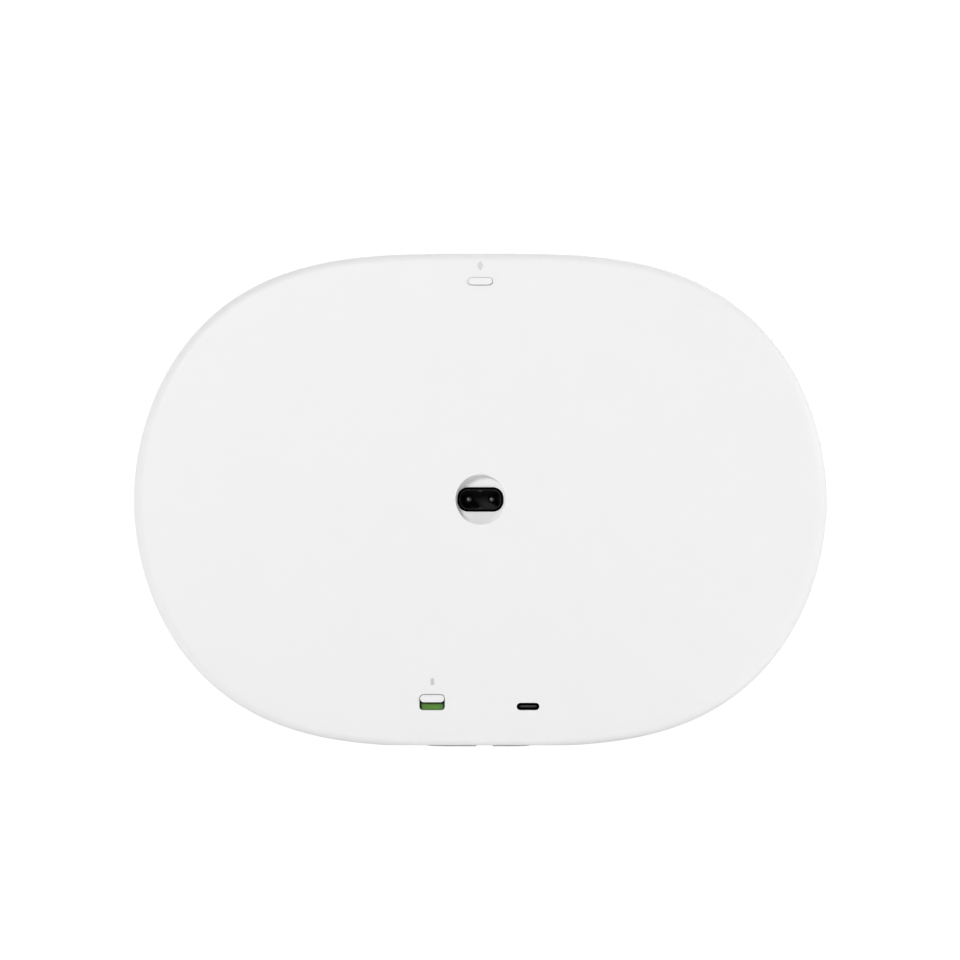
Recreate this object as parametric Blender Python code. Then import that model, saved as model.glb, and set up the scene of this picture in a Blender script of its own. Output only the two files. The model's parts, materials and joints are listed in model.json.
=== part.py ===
"""A wide, rounded table-top voice hub: two flared shells that meet at a pinched waist, on a silicone foot.

The outline is a superellipse. X is the width, the perforated front faces -Y, the solid rear faces +Y, Z is up.
All lengths below are millimetres and are scaled to metres when a mesh is made.
"""

import math

import bmesh
import bpy

MM = 0.001

# ---- outline and side profile ----
HALF_W = 130.0  # rear outline half width
HALF_H = 92.5  # rear outline half height
POW_X = 3.326
POW_Z = 1.915
MID_Z = 92.8  # height of the outline's centre
FRONT_W = 130.35 / 130.0  # the front rim is a hair wider than the rear one
FRONT_H = 92.45 / 92.5
WAIST_M = 109.5  # half width at the waist
REAR_Y0 = 6.5
FRONT_Y0 = 3.5
REAR_Y = 80.0
FRONT_Y = -80.0
REAR_DOME = 1.5
REAR_WALL = 2.2
GRILLE_WALL = 1.2
FLAT_Z = 0.9  # the shells' underside is cut flat here
AROUND = 56

# ---- rear features: x, z from the outline's centre ----
RECESS_R = 9.3
RECESS_FLOOR_Y = 74.5
RECESS_DZ = 0.3
INLET = (17.1, 9.0)
INLET_CAVITY = (15.3, 7.3)
INLET_FACE_Y = 75.0
PIN_X = 4.3
PIN_R = 1.2
BUTTON_DZ = 82.0
BUTTON_SLOT = (9.4, 3.0)
BUTTON_CAP = (9.0, 2.6)
BUTTON_TRAVEL = 0.6
MUTE_X, MUTE_DZ = 18.1, -75.7
MUTE_SLOT = (9.5, 5.95)
MUTE_KNOB = (9.0, 2.75)
MUTE_TRAVEL = 2.8
USB_X, USB_DZ = -17.85, -77.3
USB_SLOT = (8.5, 2.77)
MIC_MARK = (18.0, -68.0)
PAIR_MARK_DZ = 87.9

# ---- drivers ----
WOOFER_X = 57.0
BAFFLE_Y = (-48.0, -44.0)
SIDE_TWEETER_Y = -26.0

for old in list(bpy.data.objects):
    bpy.data.objects.remove(old, do_unlink=True)

COLOURS = {
    "shell_white": ((0.86, 0.86, 0.85), 0.0, 0.5),
    "grille_white": ((0.84, 0.84, 0.83), 0.0, 0.45),
    "mark_grey": ((0.55, 0.55, 0.55), 0.0, 0.6),
    "dark_plastic": ((0.02, 0.02, 0.022), 0.0, 0.5),
    "cloth_black": ((0.015, 0.015, 0.015), 0.0, 0.95),
    "foot_grey": ((0.12, 0.12, 0.125), 0.0, 0.85),
    "pin_steel": ((0.6, 0.6, 0.6), 1.0, 0.3),
    "flag_green": ((0.09, 0.22, 0.05), 0.0, 0.5),
    "flag_amber": ((0.75, 0.25, 0.03), 0.0, 0.5),
    "board_green": ((0.03, 0.16, 0.08), 0.0, 0.5),
    "metal_alu": ((0.7, 0.71, 0.72), 1.0, 0.4),
    "magnet_black": ((0.03, 0.03, 0.035), 0.6, 0.5),
    "cone_grey": ((0.08, 0.08, 0.08), 0.0, 0.8),
    "rubber_black": ((0.02, 0.02, 0.02), 0.0, 0.8),
    "light_clear": ((0.8, 0.8, 0.8), 0.0, 0.15),
    "tape_yellow": ((0.7, 0.5, 0.08), 0.0, 0.5),
    "dome_silk": ((0.05, 0.05, 0.055), 0.0, 0.4),
}


def material(slot):
    found = bpy.data.materials.get(slot)
    if found:
        return found
    colour, metallic, rough = COLOURS[slot]
    made = bpy.data.materials.new(slot)
    made.use_nodes = True
    shader = made.node_tree.nodes["Principled BSDF"]
    shader.inputs["Base Color"].default_value = (*colour, 1.0)
    shader.inputs["Metallic"].default_value = metallic
    shader.inputs["Roughness"].default_value = rough
    made.diffuse_color = (*colour, 1.0)
    return made


def solid(name, verts, faces, slot, smooth=True):
    mesh = bpy.data.meshes.new(name)
    mesh.from_pydata([tuple(c * MM for c in v) for v in verts], [], faces)
    bm = bmesh.new()
    bm.from_mesh(mesh)
    bmesh.ops.recalc_face_normals(bm, faces=bm.faces)
    if bm.calc_volume(signed=True) < 0:
        bmesh.ops.reverse_faces(bm, faces=bm.faces)
    bm.to_mesh(mesh)
    bm.free()
    mesh.materials.append(material(slot))
    made = bpy.data.objects.new(name, mesh)
    bpy.context.scene.collection.objects.link(made)
    if smooth:
        mesh.shade_smooth()
        mesh.set_sharp_from_angle(angle=math.radians(35))
    return made


def skin(rings, loop=False):
    """Vertices and faces over a run of rings; a ring of one point is a pole. With loop, the last ring joins the first."""
    verts, index = [], []
    for ring in rings:
        index.append(list(range(len(verts), len(verts) + len(ring))))
        verts.extend(ring)
    faces = []
    for a, b in list(zip(index, index[1:])) + ([(index[-1], index[0])] if loop else []):
        if len(a) == 1 and len(b) == 1:
            continue
        n = max(len(a), len(b))
        for i in range(n):
            j = (i + 1) % n
            if len(a) == 1:
                faces.append((a[0], b[i], b[j]))
            elif len(b) == 1:
                faces.append((a[i], b[0], a[j]))
            else:
                faces.append((a[i], b[i], b[j], a[j]))
    if not loop:
        for ring in (index[0], index[-1]):
            if len(ring) > 1:
                faces.append(tuple(ring))
    return verts, faces


def carve(body, cutter, operation="DIFFERENCE"):
    """Runs one exact Boolean on body and removes the cutter."""
    step = body.modifiers.new("cut", "BOOLEAN")
    step.object = cutter
    step.operation = operation
    step.solver = "EXACT"
    bpy.context.view_layer.update()
    graph = bpy.context.evaluated_depsgraph_get()
    mesh = bpy.data.meshes.new_from_object(body.evaluated_get(graph))
    body.modifiers.clear()
    body.data = mesh
    bm = bmesh.new()
    bm.from_mesh(mesh)
    bmesh.ops.remove_doubles(bm, verts=bm.verts, dist=2e-6)
    bmesh.ops.dissolve_degenerate(bm, dist=1e-6, edges=bm.edges)
    bm.to_mesh(mesh)
    bm.free()
    bpy.data.objects.remove(cutter, do_unlink=True)


def origin_at(body, x, y, z):
    shift = (x * MM, y * MM, z * MM)
    for vertex in body.data.vertices:
        vertex.co.x -= shift[0]
        vertex.co.y -= shift[1]
        vertex.co.z -= shift[2]
    body.location = shift


# ---- places: (u, v, h) to world ----
def on_y(cx=0.0, cz=0.0):
    return lambda u, v, h: (cx + u, h, cz + v)


def on_z(cx=0.0, cy=0.0):
    return lambda u, v, h: (cx + u, cy + v, h)


def on_x(cy=0.0, cz=0.0, side=1):
    return lambda u, v, h: (side * h, cy + u, cz + v)


def circle(r, n):
    return [
        (r * math.cos(2 * math.pi * i / n), r * math.sin(2 * math.pi * i / n))
        for i in range(n)
    ]


def round_rect(w, h, r, n=4):
    """Rounded rectangle, n segments in each corner. A capsule has r = h / 2."""
    r = min(r, w / 2 - 1e-4, h / 2 - 1e-4)
    pts = []
    for cx, cy, start in (
        (w / 2 - r, h / 2 - r, 0),
        (-w / 2 + r, h / 2 - r, 90),
        (-w / 2 + r, -h / 2 + r, 180),
        (w / 2 - r, -h / 2 + r, 270),
    ):
        for i in range(n + 1):
            t = math.radians(start + 90 * i / n)
            pts.append((cx + r * math.cos(t), cy + r * math.sin(t)))
    return pts


def slot_outline(w, h, upper, lower, n=4):
    """Rounded rectangle whose upper and lower corners have their own radii."""
    top = [p for p in round_rect(w, h, upper, n) if p[1] > 0]
    low = [p for p in round_rect(w, h, lower, n) if p[1] < 0]
    return top + low


def prism(name, pts, h0, h1, place, slot, smooth=True, edge=0.0):
    """Outline pts run from h0 to h1, with the far end eased by edge when it isn't 0."""
    rings = [[place(u, v, h0) for u, v in pts]]
    if edge:
        wide = max(abs(u) for u, _ in pts)
        tall = max(abs(v) for _, v in pts)
        rings.append([place(u, v, h1 - math.copysign(edge, h1 - h0)) for u, v in pts])
        rings.append(
            [
                place(u * (1 - edge / wide), v * (1 - edge / tall), h1)
                for u, v in pts
            ]
        )
    else:
        rings.append([place(u, v, h1) for u, v in pts])
    return solid(name, *skin(rings), slot, smooth)


def box(name, x, y, z, slot):
    pts = [(x[0], y[0]), (x[1], y[0]), (x[1], y[1]), (x[0], y[1])]
    return prism(name, pts, z[0], z[1], on_z(), slot, smooth=False)


def lathe(name, profile, place, slot, n=24, loop=False):
    """Profile of (r, h); r = 0 is a pole. With loop it is a closed section off the axis."""
    rings = []
    for r, h in profile:
        rings.append(
            [place(0, 0, h)] if r == 0 else [place(u, v, h) for u, v in circle(r, n)]
        )
    return solid(name, *skin(rings, loop), slot)


# ---- the superellipse outline, evenly spaced, mirrored from one quarter ----
def outline_quarter(count):
    fine = []
    for i in range(4001):
        t = math.pi / 2 * i / 4000
        fine.append(
            (
                HALF_W * math.cos(t) ** (2 / POW_X),
                HALF_H * math.sin(t) ** (2 / POW_Z),
            )
        )
    run = [0.0]
    for p, q in zip(fine, fine[1:]):
        run.append(run[-1] + math.dist(p, q))
    out, j = [], 0
    for i in range(count + 1):
        want = run[-1] * i / count
        while j < 3999 and run[j + 1] < want:
            j += 1
        f = (want - run[j]) / (run[j + 1] - run[j])
        out.append(
            (
                fine[j][0] + f * (fine[j + 1][0] - fine[j][0]),
                fine[j][1] + f * (fine[j + 1][1] - fine[j][1]),
            )
        )
    out[0] = (HALF_W, 0.0)
    out[-1] = (0.0, HALF_H)
    return out


def outline(n):
    quarter = outline_quarter(n // 4)
    pts = list(quarter[:-1])
    pts += [(-x, z) for x, z in reversed(quarter[1:])]
    pts += [(-x, -z) for x, z in quarter[:-1]]
    pts += [(x, -z) for x, z in reversed(quarter[1:])]
    made = []
    for x, z in pts:
        gx = POW_X / HALF_W * abs(x / HALF_W) ** (POW_X - 1) * (1 if x >= 0 else -1)
        gz = POW_Z / HALF_H * abs(z / HALF_H) ** (POW_Z - 1) * (1 if z >= 0 else -1)
        size = math.hypot(gx, gz)
        made.append((x, z, gx / size, gz / size))
    return made


RIM = outline(AROUND)


def ring(m, y, off=0.0, way=(0.0, 1.0), front=False, step=1):
    """The section of half width m at depth y, moved inwards by off along the surface normal; way is the profile's direction there. step 2 keeps every second point, for pieces that are hidden."""
    k = m / HALF_W
    dm, dy = way
    sign = -1.0 if front else 1.0
    fx, fz = (FRONT_W, FRONT_H) if front else (1.0, 1.0)
    pts = []
    for x, z, nx, nz in RIM[::step]:
        h = x * nx + z * nz
        ax, ay, az = nx * dy, -dm / HALF_W * h, nz * dy
        size = sign / math.sqrt(ax * ax + ay * ay + az * az)
        pts.append(
            (
                k * x * fx - off * ax * size,
                y - off * ay * size,
                MID_Z + k * z * fz - off * az * size,
            )
        )
    return pts


def rear_m(y):
    return WAIST_M + 20.2 * (max(y - REAR_Y0, 0.0) / 67.5) ** 1.7


def rear_way(y):
    return (20.2 * 1.7 / 67.5 * (max(y - REAR_Y0, 0.0) / 67.5) ** 0.7, 1.0)


def front_m(y):
    return WAIST_M + 20.2 * (max(FRONT_Y0 - y, 0.0) / 59.5) ** 1.55


def front_way(y):
    return (20.2 * 1.55 / 59.5 * (max(FRONT_Y0 - y, 0.0) / 59.5) ** 0.55, -1.0)


def bezier(p, t):
    s = 1 - t
    at = [
        s**3 * p[0][i]
        + 3 * s * s * t * p[1][i]
        + 3 * s * t * t * p[2][i]
        + t**3 * p[3][i]
        for i in (0, 1)
    ]
    way = [
        3 * s * s * (p[1][i] - p[0][i])
        + 6 * s * t * (p[2][i] - p[1][i])
        + 3 * t * t * (p[3][i] - p[2][i])
        for i in (0, 1)
    ]
    return at, way


def dome_y(k):
    return REAR_Y - REAR_DOME * k * k


REAR_EDGE = [(129.7, 74.0), (130.76, 75.9), (128.9, 78.5), (126.0, dome_y(126 / 130))]
FRONT_EDGE = [(127.63, -52.0), (133.71, -64.0), (127.9, -72.3), (112.0, -74.0)]


def front_y(m):
    return FRONT_Y + 6.0 * (m / 112.0) ** 2


def rear_k(x, dz):
    """The outline scale whose section passes through x, dz."""
    low, high = 0.0, 2.0
    for _ in range(60):
        mid = (low + high) / 2
        if abs(x / HALF_W / mid) ** POW_X + abs(dz / HALF_H / mid) ** POW_Z > 1:
            low = mid
        else:
            high = mid
    return high


def rear_surface(x, dz):
    return dome_y(rear_k(x, dz))


def pole(y):
    return [(0.0, y, MID_Z)]


# ---- rear shell ----
REAR_FLARE = (6.5, 20.0, 33.0, 45.0, 56.0, 66.0)
rings = [ring(rear_m(y), y) for y in REAR_FLARE]
for t in (0.0, 0.193, 0.45, 0.72, 1.0):
    at, _ = bezier(REAR_EDGE, t)
    rings.append(ring(*at))
for m in (96.0, 62.0, 30.0):
    rings.append(ring(m, dome_y(m / 130)))
rings.append(pole(REAR_Y))
rings.append(pole(REAR_Y - REAR_WALL))
for m in (30.0, 62.0, 96.0, 123.0):
    rings.append(ring(m, dome_y(m / 130) - REAR_WALL))
for y in reversed(REAR_FLARE):
    rings.append(ring(rear_m(y), y, REAR_WALL, rear_way(y)))
rear = solid("rear_shell", *skin(rings, loop=True), "shell_white")

cup_place = on_y(0, MID_Z + RECESS_DZ)
carve(
    rear,
    prism("cup", circle(RECESS_R + 2.0, 32), 72.0, 78.4, cup_place, "shell_white"),
    "UNION",
)
carve(
    rear,
    prism(
        "recess", circle(RECESS_R, 32), RECESS_FLOOR_Y, 82.0, cup_place, "shell_white"
    ),
)
carve(
    rear,
    prism(
        "socket_hole",
        round_rect(INLET[0] + 0.5, INLET[1] + 0.5, 4.0),
        70.0,
        76.0,
        cup_place,
        "shell_white",
    ),
)
carve(
    rear,
    prism(
        "button_slot",
        round_rect(*BUTTON_SLOT, BUTTON_SLOT[1] / 2),
        74.0,
        82.0,
        on_y(0, MID_Z + BUTTON_DZ),
        "shell_white",
    ),
)
carve(
    rear,
    prism(
        "mute_slot",
        slot_outline(*MUTE_SLOT, 1.57, 1.3),
        74.0,
        82.0,
        on_y(MUTE_X, MID_Z + MUTE_DZ),
        "shell_white",
    ),
)
carve(
    rear,
    prism(
        "usb_slot",
        round_rect(*USB_SLOT, USB_SLOT[1] / 2),
        74.0,
        82.0,
        on_y(USB_X, MID_Z + USB_DZ),
        "shell_white",
    ),
)
PANEL_Y = 43.0
carve(
    rear,
    prism(
        "panel_opening",
        round_rect(78.6, 18.6, 9.3, 6),
        150.0,
        190.0,
        on_z(0, PANEL_Y),
        "shell_white",
    ),
)
carve(rear, box("flat", (-80, 80), (0, 90), (-10, FLAT_Z), "shell_white"))

# ---- touch panel, its board, light pipe and microphones ----
rings = [ring(rear_m(y), y, 0.2, rear_way(y)) for y in (30.0, 38.0, 46.0, 54.0, 60.0)]
rings += [
    ring(rear_m(y), y, REAR_WALL, rear_way(y)) for y in (60.0, 54.0, 46.0, 38.0, 30.0)
]
panel = solid("touch_panel", *skin(rings, loop=True), "shell_white")
carve(
    panel,
    prism(
        "panel_shape",
        round_rect(78.0, 18.0, 9.0, 6),
        150.0,
        190.0,
        on_z(0, PANEL_Y),
        "shell_white",
    ),
    "INTERSECT",
)
LIGHT = (0.0, 50.0)
carve(
    panel,
    prism("light_hole", circle(1.1, 12), 150, 190, on_z(*LIGHT), "shell_white"),
)
light_top = MID_Z + HALF_H * rear_m(LIGHT[1]) / HALF_W - 0.3
prism("status_light", circle(0.9, 12), 166.2, light_top, on_z(*LIGHT), "light_clear")
box("touch_board", (-35, 35), (35, 53), (164.4, 166.0), "board_green")
for side, name in ((1, "left"), (-1, "right")):
    prism(
        f"mic_capsule_{name}",
        circle(2.0, 16),
        166.2,
        167.6,
        on_z(side * 24, 44),
        "metal_alu",
        edge=0.3,
    )

# ---- front grille, its cloth and the waist ring ----
FRONT_FLARE = (3.5, -10.0, -22.0, -34.0, -46.0)
EDGE_T = (0.08, 0.255, 0.45, 0.65, 0.83, 1.0)


def front_run(off, ys=FRONT_FLARE, ts=EDGE_T, ms=(84.0, 56.0, 28.0), step=1):
    run = [ring(front_m(y), y, off, front_way(y), True, step) for y in ys]
    for t in ts:
        at, way = bezier(FRONT_EDGE, t)
        run.append(ring(*at, off, way, True, step))
    for m in ms:
        run.append(
            ring(m, front_y(m), off, (-1.0, -12.0 * m / 112.0**2), True, step)
        )
    run.append(pole(FRONT_Y + off))
    return run


grille = solid(
    "front_grille",
    *skin(front_run(0.0) + front_run(GRILLE_WALL)[::-1], loop=True),
    "grille_white",
)
carve(grille, box("flat", (-80, 80), (-90, 10), (-10, FLAT_Z), "shell_white"))
coarse = dict(
    ys=(3.0, -14.0, -30.0, -46.0), ts=(0.0, 0.35, 0.7, 1.0), ms=(56.0,), step=2
)
solid(
    "grille_liner",
    *skin(front_run(1.7, **coarse) + front_run(2.4, **coarse)[::-1], loop=True),
    "cloth_black",
)
solid(
    "waist_gasket",
    *skin(
        [
            ring(WAIST_M, 3.9, 1.0, step=2),
            ring(WAIST_M, 6.1, 1.0, step=2),
            ring(WAIST_M, 6.1, 5.0, step=2),
            ring(WAIST_M, 3.9, 5.0, step=2),
        ],
        loop=True,
    ),
    "rubber_black",
)

# ---- baffle and enclosure ----
baffle = solid(
    "front_baffle",
    *skin(
        [
            ring(front_m(BAFFLE_Y[0]), BAFFLE_Y[0], 4.5, step=2),
            ring(front_m(BAFFLE_Y[1]), BAFFLE_Y[1], 4.5, step=2),
        ]
    ),
    "dark_plastic",
)
for x in (-WOOFER_X, WOOFER_X):
    carve(
        baffle,
        prism("hole", circle(38.8, 32), -60, -40, on_y(x, MID_Z), "dark_plastic"),
    )
carve(
    baffle, prism("hole", circle(13.0, 24), -60, -40, on_y(0, MID_Z), "dark_plastic")
)
run = [ring(front_m(y), y, 4.5, step=2) for y in (-43.6, -24.0, -4.0)]
run += [ring(WAIST_M, 1.0, 4.5, step=2), pole(1.0), pole(-1.5)]
run += [ring(front_m(y), y, 7.0, step=2) for y in (-1.5, -24.0, -43.6)]
enclosure = solid("enclosure", *skin(run, loop=True), "dark_plastic")
SIDE_X = front_m(SIDE_TWEETER_Y) - 7.6
TOP_Z = MID_Z + HALF_H * front_m(SIDE_TWEETER_Y) / HALF_W - 6.6
for side in (1, -1):
    carve(
        enclosure,
        prism(
            "hole",
            circle(13.0, 24),
            95,
            125,
            on_x(SIDE_TWEETER_Y, MID_Z, side),
            "dark_plastic",
        ),
    )
carve(
    enclosure,
    prism("hole", circle(13.0, 24), 155, 185, on_z(0, SIDE_TWEETER_Y), "dark_plastic"),
)

# ---- woofers ----
for side, name in ((1, "left"), (-1, "right")):
    at = on_y(side * WOOFER_X, MID_Z)
    lathe(
        f"woofer_basket_{name}",
        [
            (43.0, -50.3),
            (43.0, -48.3),
            (38.4, -48.3),
            (38.4, -43.5),
            (20.0, -24.0),
            (9.0, -24.0),
            (9.0, -25.4),
            (19.0, -25.4),
            (36.8, -44.4),
            (36.8, -50.3),
        ],
        at,
        "metal_alu",
        24,
        loop=True,
    )
    lathe(
        f"woofer_magnet_{name}",
        [
            (0, -9.0),
            (23.0, -9.0),
            (24.0, -10.0),
            (24.0, -23.6),
            (8.6, -23.6),
            (8.6, -13.0),
            (0, -13.0),
        ],
        at,
        "magnet_black",
        20,
    )
    cone = lathe(
        f"woofer_cone_{name}",
        [
            (30.0, -50.0),
            (30.0, -49.2),
            (7.6, -32.0),
            (7.6, -18.5),
            (6.6, -18.5),
            (6.6, -33.0),
        ],
        at,
        "cone_grey",
        24,
        loop=True,
    )
    cap = lathe(
        f"woofer_cap_{name}",
        [(0, -39.0), (5.0, -38.0), (8.8, -35.6), (8.4, -35.0), (0, -35.0)],
        at,
        "cone_grey",
        20,
    )
    surround = lathe(
        f"woofer_surround_{name}",
        [
            (30.5, -50.2),
            (31.6, -52.2),
            (33.3, -53.0),
            (35.1, -52.2),
            (36.3, -50.2),
            (35.4, -49.8),
            (34.5, -51.3),
            (33.3, -52.0),
            (32.1, -51.3),
            (31.3, -49.8),
        ],
        at,
        "rubber_black",
        24,
        loop=True,
    )
    for moving in (cone, cap, surround):
        origin_at(moving, side * WOOFER_X, -50.0, MID_Z)

# ---- tweeters: front, left, right, top ----
for name, place in (
    ("front", lambda u, v, h: (u, -54.0 - h, MID_Z + v)),
    ("left", lambda u, v, h: (SIDE_X + h, SIDE_TWEETER_Y + u, MID_Z + v)),
    ("right", lambda u, v, h: (-SIDE_X - h, SIDE_TWEETER_Y + u, MID_Z + v)),
    ("top", lambda u, v, h: (u, SIDE_TWEETER_Y + v, TOP_Z + h)),
):
    lathe(
        f"tweeter_horn_{name}",
        [
            (12.6, 0.0),
            (12.6, -11.0),
            (7.3, -11.0),
            (7.3, -8.0),
            (9.2, -4.0),
            (11.6, 0.0),
        ],
        place,
        "dark_plastic",
        20,
        loop=True,
    )
    lathe(
        f"tweeter_dome_{name}",
        [(0, -7.0), (3.6, -7.7), (6.5, -9.7), (6.5, -10.7), (0, -10.7)],
        place,
        "dome_silk",
        16,
    )
    lathe(
        f"tweeter_magnet_{name}",
        [(0, -11.3), (9.0, -11.3), (9.0, -18.0), (8.4, -18.6), (0, -18.6)],
        place,
        "magnet_black",
        16,
    )

# ---- pedestal and foot ----
cover = [ring(front_m(y), y, -0.3) for y in (-62.0, -46.0, -34.0, -22.0, -10.0)]
cover += [ring(WAIST_M, 3.5, -0.3), ring(WAIST_M, 6.5, -0.3)]
cover += [ring(rear_m(y), y, -0.3) for y in (20.0, 33.0, 45.0, 56.0, 72.0)]
plinth = prism(
    "base_plinth",
    round_rect(70.0, 104.0, 30.0, 6),
    1.9,
    30.0,
    on_z(0, 6.0),
    "foot_grey",
)
carve(plinth, solid("cover", *skin(cover), "foot_grey"))
pad = round_rect(74.0, 112.0, 32.0, 8)
foot = solid(
    "foot_pad",
    *skin(
        [
            [(u * 0.985, 6.0 + v * 0.99, 0.0) for u, v in pad],
            [(u, 6.0 + v, 0.5) for u, v in pad],
            [(u, 6.0 + v, 1.5) for u, v in pad],
        ]
    ),
    "foot_grey",
)
carve(foot, box("groove", (-4.4, 1.4), (-60, 72), (-1.0, 1.0), "foot_grey"))

# ---- mains inlet ----
inlet = on_y(0, MID_Z + RECESS_DZ)
socket = prism(
    "inlet_socket", round_rect(*INLET, 3.9, 5), 57.0, INLET_FACE_Y, inlet, "dark_plastic"
)
carve(
    socket,
    prism("flange", round_rect(21.0, 14.0, 4.0, 4), 68.5, 71.6, inlet, "dark_plastic"),
    "UNION",
)
# figure-eight cavity: two lobes with a short land between them at the top and bottom
CW, CH = INLET_CAVITY
lobe = round_rect(CW, CH, CH / 2 - 0.05, 6)
eight = []
for u, v in lobe:
    eight.append((u, v))
notch = 0.55
half = len(eight) // 2
top = [p for p in eight if p[1] > 0]
eight = [p for p in eight[: 7]]
eight += [(1.1, CH / 2), (0.7, CH / 2 - notch), (-0.7, CH / 2 - notch), (-1.1, CH / 2)]
eight += lobe[7:21]
eight += [
    (-1.1, -CH / 2),
    (-0.7, -CH / 2 + notch),
    (0.7, -CH / 2 + notch),
    (1.1, -CH / 2),
]
eight += lobe[21:]
carve(socket, prism("cavity", eight, 62.0, 80.0, inlet, "dark_plastic"))
for side, name in ((1, "left"), (-1, "right")):
    at = on_y(side * PIN_X, MID_Z + RECESS_DZ)
    carve(
        socket, prism("pin_hole", circle(PIN_R + 0.2, 16), 50.0, 64.0, at, "pin_steel")
    )
    lathe(
        f"inlet_pin_{name}",
        [(0, 50.5), (PIN_R, 50.5), (PIN_R, 71.6), (PIN_R - 0.5, 72.4), (0, 72.4)],
        at,
        "pin_steel",
        16,
    )

# ---- pairing button, its switch and mark ----
at = on_y(0, MID_Z + BUTTON_DZ)
button = prism(
    "pairing_button",
    round_rect(*BUTTON_CAP, BUTTON_CAP[1] / 2, 6),
    76.1,
    79.15,
    at,
    "shell_white",
    edge=0.25,
)
carve(
    button,
    prism(
        "flange", round_rect(11.2, 4.6, 2.2, 6), 75.3, 76.25, at, "shell_white"
    ),
    "UNION",
)
origin_at(button, 0, 75.3, MID_Z + BUTTON_DZ)
switch = box(
    "pairing_switch",
    (-3.0, 3.0),
    (66.0, 73.2),
    (MID_Z + BUTTON_DZ - 2.0, MID_Z + BUTTON_DZ + 2.0),
    "dark_plastic",
)
carve(
    switch, prism("plunger", circle(1.2, 12), 73.0, 74.5, at, "dark_plastic"), "UNION"
)
box("button_board", (-14, 14), (64.0, 65.7), (164.0, 177.5), "board_green")


def mark(name, loops, dz, x0, slot):
    """A thin printed shape 0.1 thick that follows the rear face; a second loop is its hole."""
    rings = []
    for pts, lift in loops:
        rings.append(
            [
                (x0 + u, rear_surface(x0 + u, dz + v) + lift, MID_Z + dz + v)
                for u, v in pts
            ]
        )
    return rings


lozenge = []
for i in range(24):
    t = 2 * math.pi * i / 24
    c, d = math.cos(t), math.sin(t)
    lozenge.append(
        (
            1.1 * math.copysign(abs(c) ** 1.55, c),
            1.75 * math.copysign(abs(d) ** 1.55, d),
        )
    )
solid(
    "pairing_mark",
    *skin(
        mark(
            "pairing_mark",
            [(lozenge, 0.03), (lozenge, 0.12)],
            PAIR_MARK_DZ,
            0.0,
            "mark_grey",
        )
    ),
    "mark_grey",
)
capsule = round_rect(1.35, 2.7, 0.675, 6)
solid(
    "mic_mark",
    *skin(
        mark("mic_mark", [(capsule, 0.03), (capsule, 0.12)], MIC_MARK[1], MIC_MARK[0], "")
    ),
    "mark_grey",
)

# ---- mute switch ----
slot_top = MUTE_DZ + MUTE_SLOT[1] / 2
knob_dz = slot_top - 0.2 - MUTE_KNOB[1] / 2
knob_z = MID_Z + knob_dz
knob = prism(
    "mute_slider_knob",
    round_rect(*MUTE_KNOB, MUTE_KNOB[1] / 2, 6),
    76.5,
    79.3,
    on_y(MUTE_X, knob_z),
    "shell_white",
    edge=0.25,
)
carve(
    knob,
    prism(
        "stem", round_rect(3.0, 1.3, 0.2, 1), 69.0, 77.2, on_y(MUTE_X, knob_z), ""
        "shell_white"
    ),
    "UNION",
)
# a skirt behind the wall closes the slot above and beside the knob's upper half
carve(
    knob,
    prism(
        "skirt",
        [(-5.3, -0.1), (5.3, -0.1), (5.3, 1.7), (-5.3, 1.7)],
        76.1,
        76.6,
        on_y(MUTE_X, knob_z),
        "shell_white",
    ),
    "UNION",
)
split = knob_z + MUTE_KNOB[1] / 2 + 0.35
flag_bottom = knob_z - MUTE_KNOB[1] / 2 - 3.6
green = box(
    "mute_flag_green",
    (MUTE_X - 6.0, MUTE_X + 6.0),
    (75.0, 76.0),
    (flag_bottom, split),
    "flag_green",
)
carve(
    green,
    prism(
        "stem_hole", round_rect(3.5, 1.8, 0.2, 1), 70.0, 80.0, on_y(MUTE_X, knob_z),
        "flag_green",
    ),
)
amber = box(
    "mute_flag_amber",
    (MUTE_X - 6.0, MUTE_X + 6.0),
    (75.0, 76.0),
    (split + 0.15, split + 4.0),
    "flag_amber",
)
for moving in (knob, green, amber):
    origin_at(moving, MUTE_X, 76.1, knob_z)
body = box(
    "mute_switch_body",
    (MUTE_X - 5.5, MUTE_X + 5.5),
    (66.2, 72.0),
    (knob_z - 6.0, knob_z + 3.2),
    "dark_plastic",
)
carve(
    body,
    prism(
        "travel",
        round_rect(3.6, 1.8 + MUTE_TRAVEL, 0.2, 1),
        68.2,
        74.0,
        on_y(MUTE_X, knob_z - MUTE_TRAVEL / 2),
        "dark_plastic",
    ),
)

# ---- USB-C port and the lower board ----
at = on_y(USB_X, MID_Z + USB_DZ)
port = prism(
    "usb_c_shell",
    round_rect(USB_SLOT[0] + 1.2, USB_SLOT[1] + 1.2, 1.98, 5),
    66.2,
    76.3,
    at,
    "dark_plastic",
)
carve(
    port,
    prism(
        "mouth", round_rect(USB_SLOT[0] - 0.2, USB_SLOT[1] - 0.2, 1.28, 5), 68.0, 78.0,
        at, "dark_plastic",
    ),
)
prism(
    "usb_c_tongue",
    round_rect(6.6, 0.8, 0.3, 2),
    68.3,
    75.4,
    at,
    "dark_plastic",
    smooth=False,
)
box("io_board", (-40, 40), (64.2, 65.8), (10.0, 28.0), "board_green")

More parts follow.
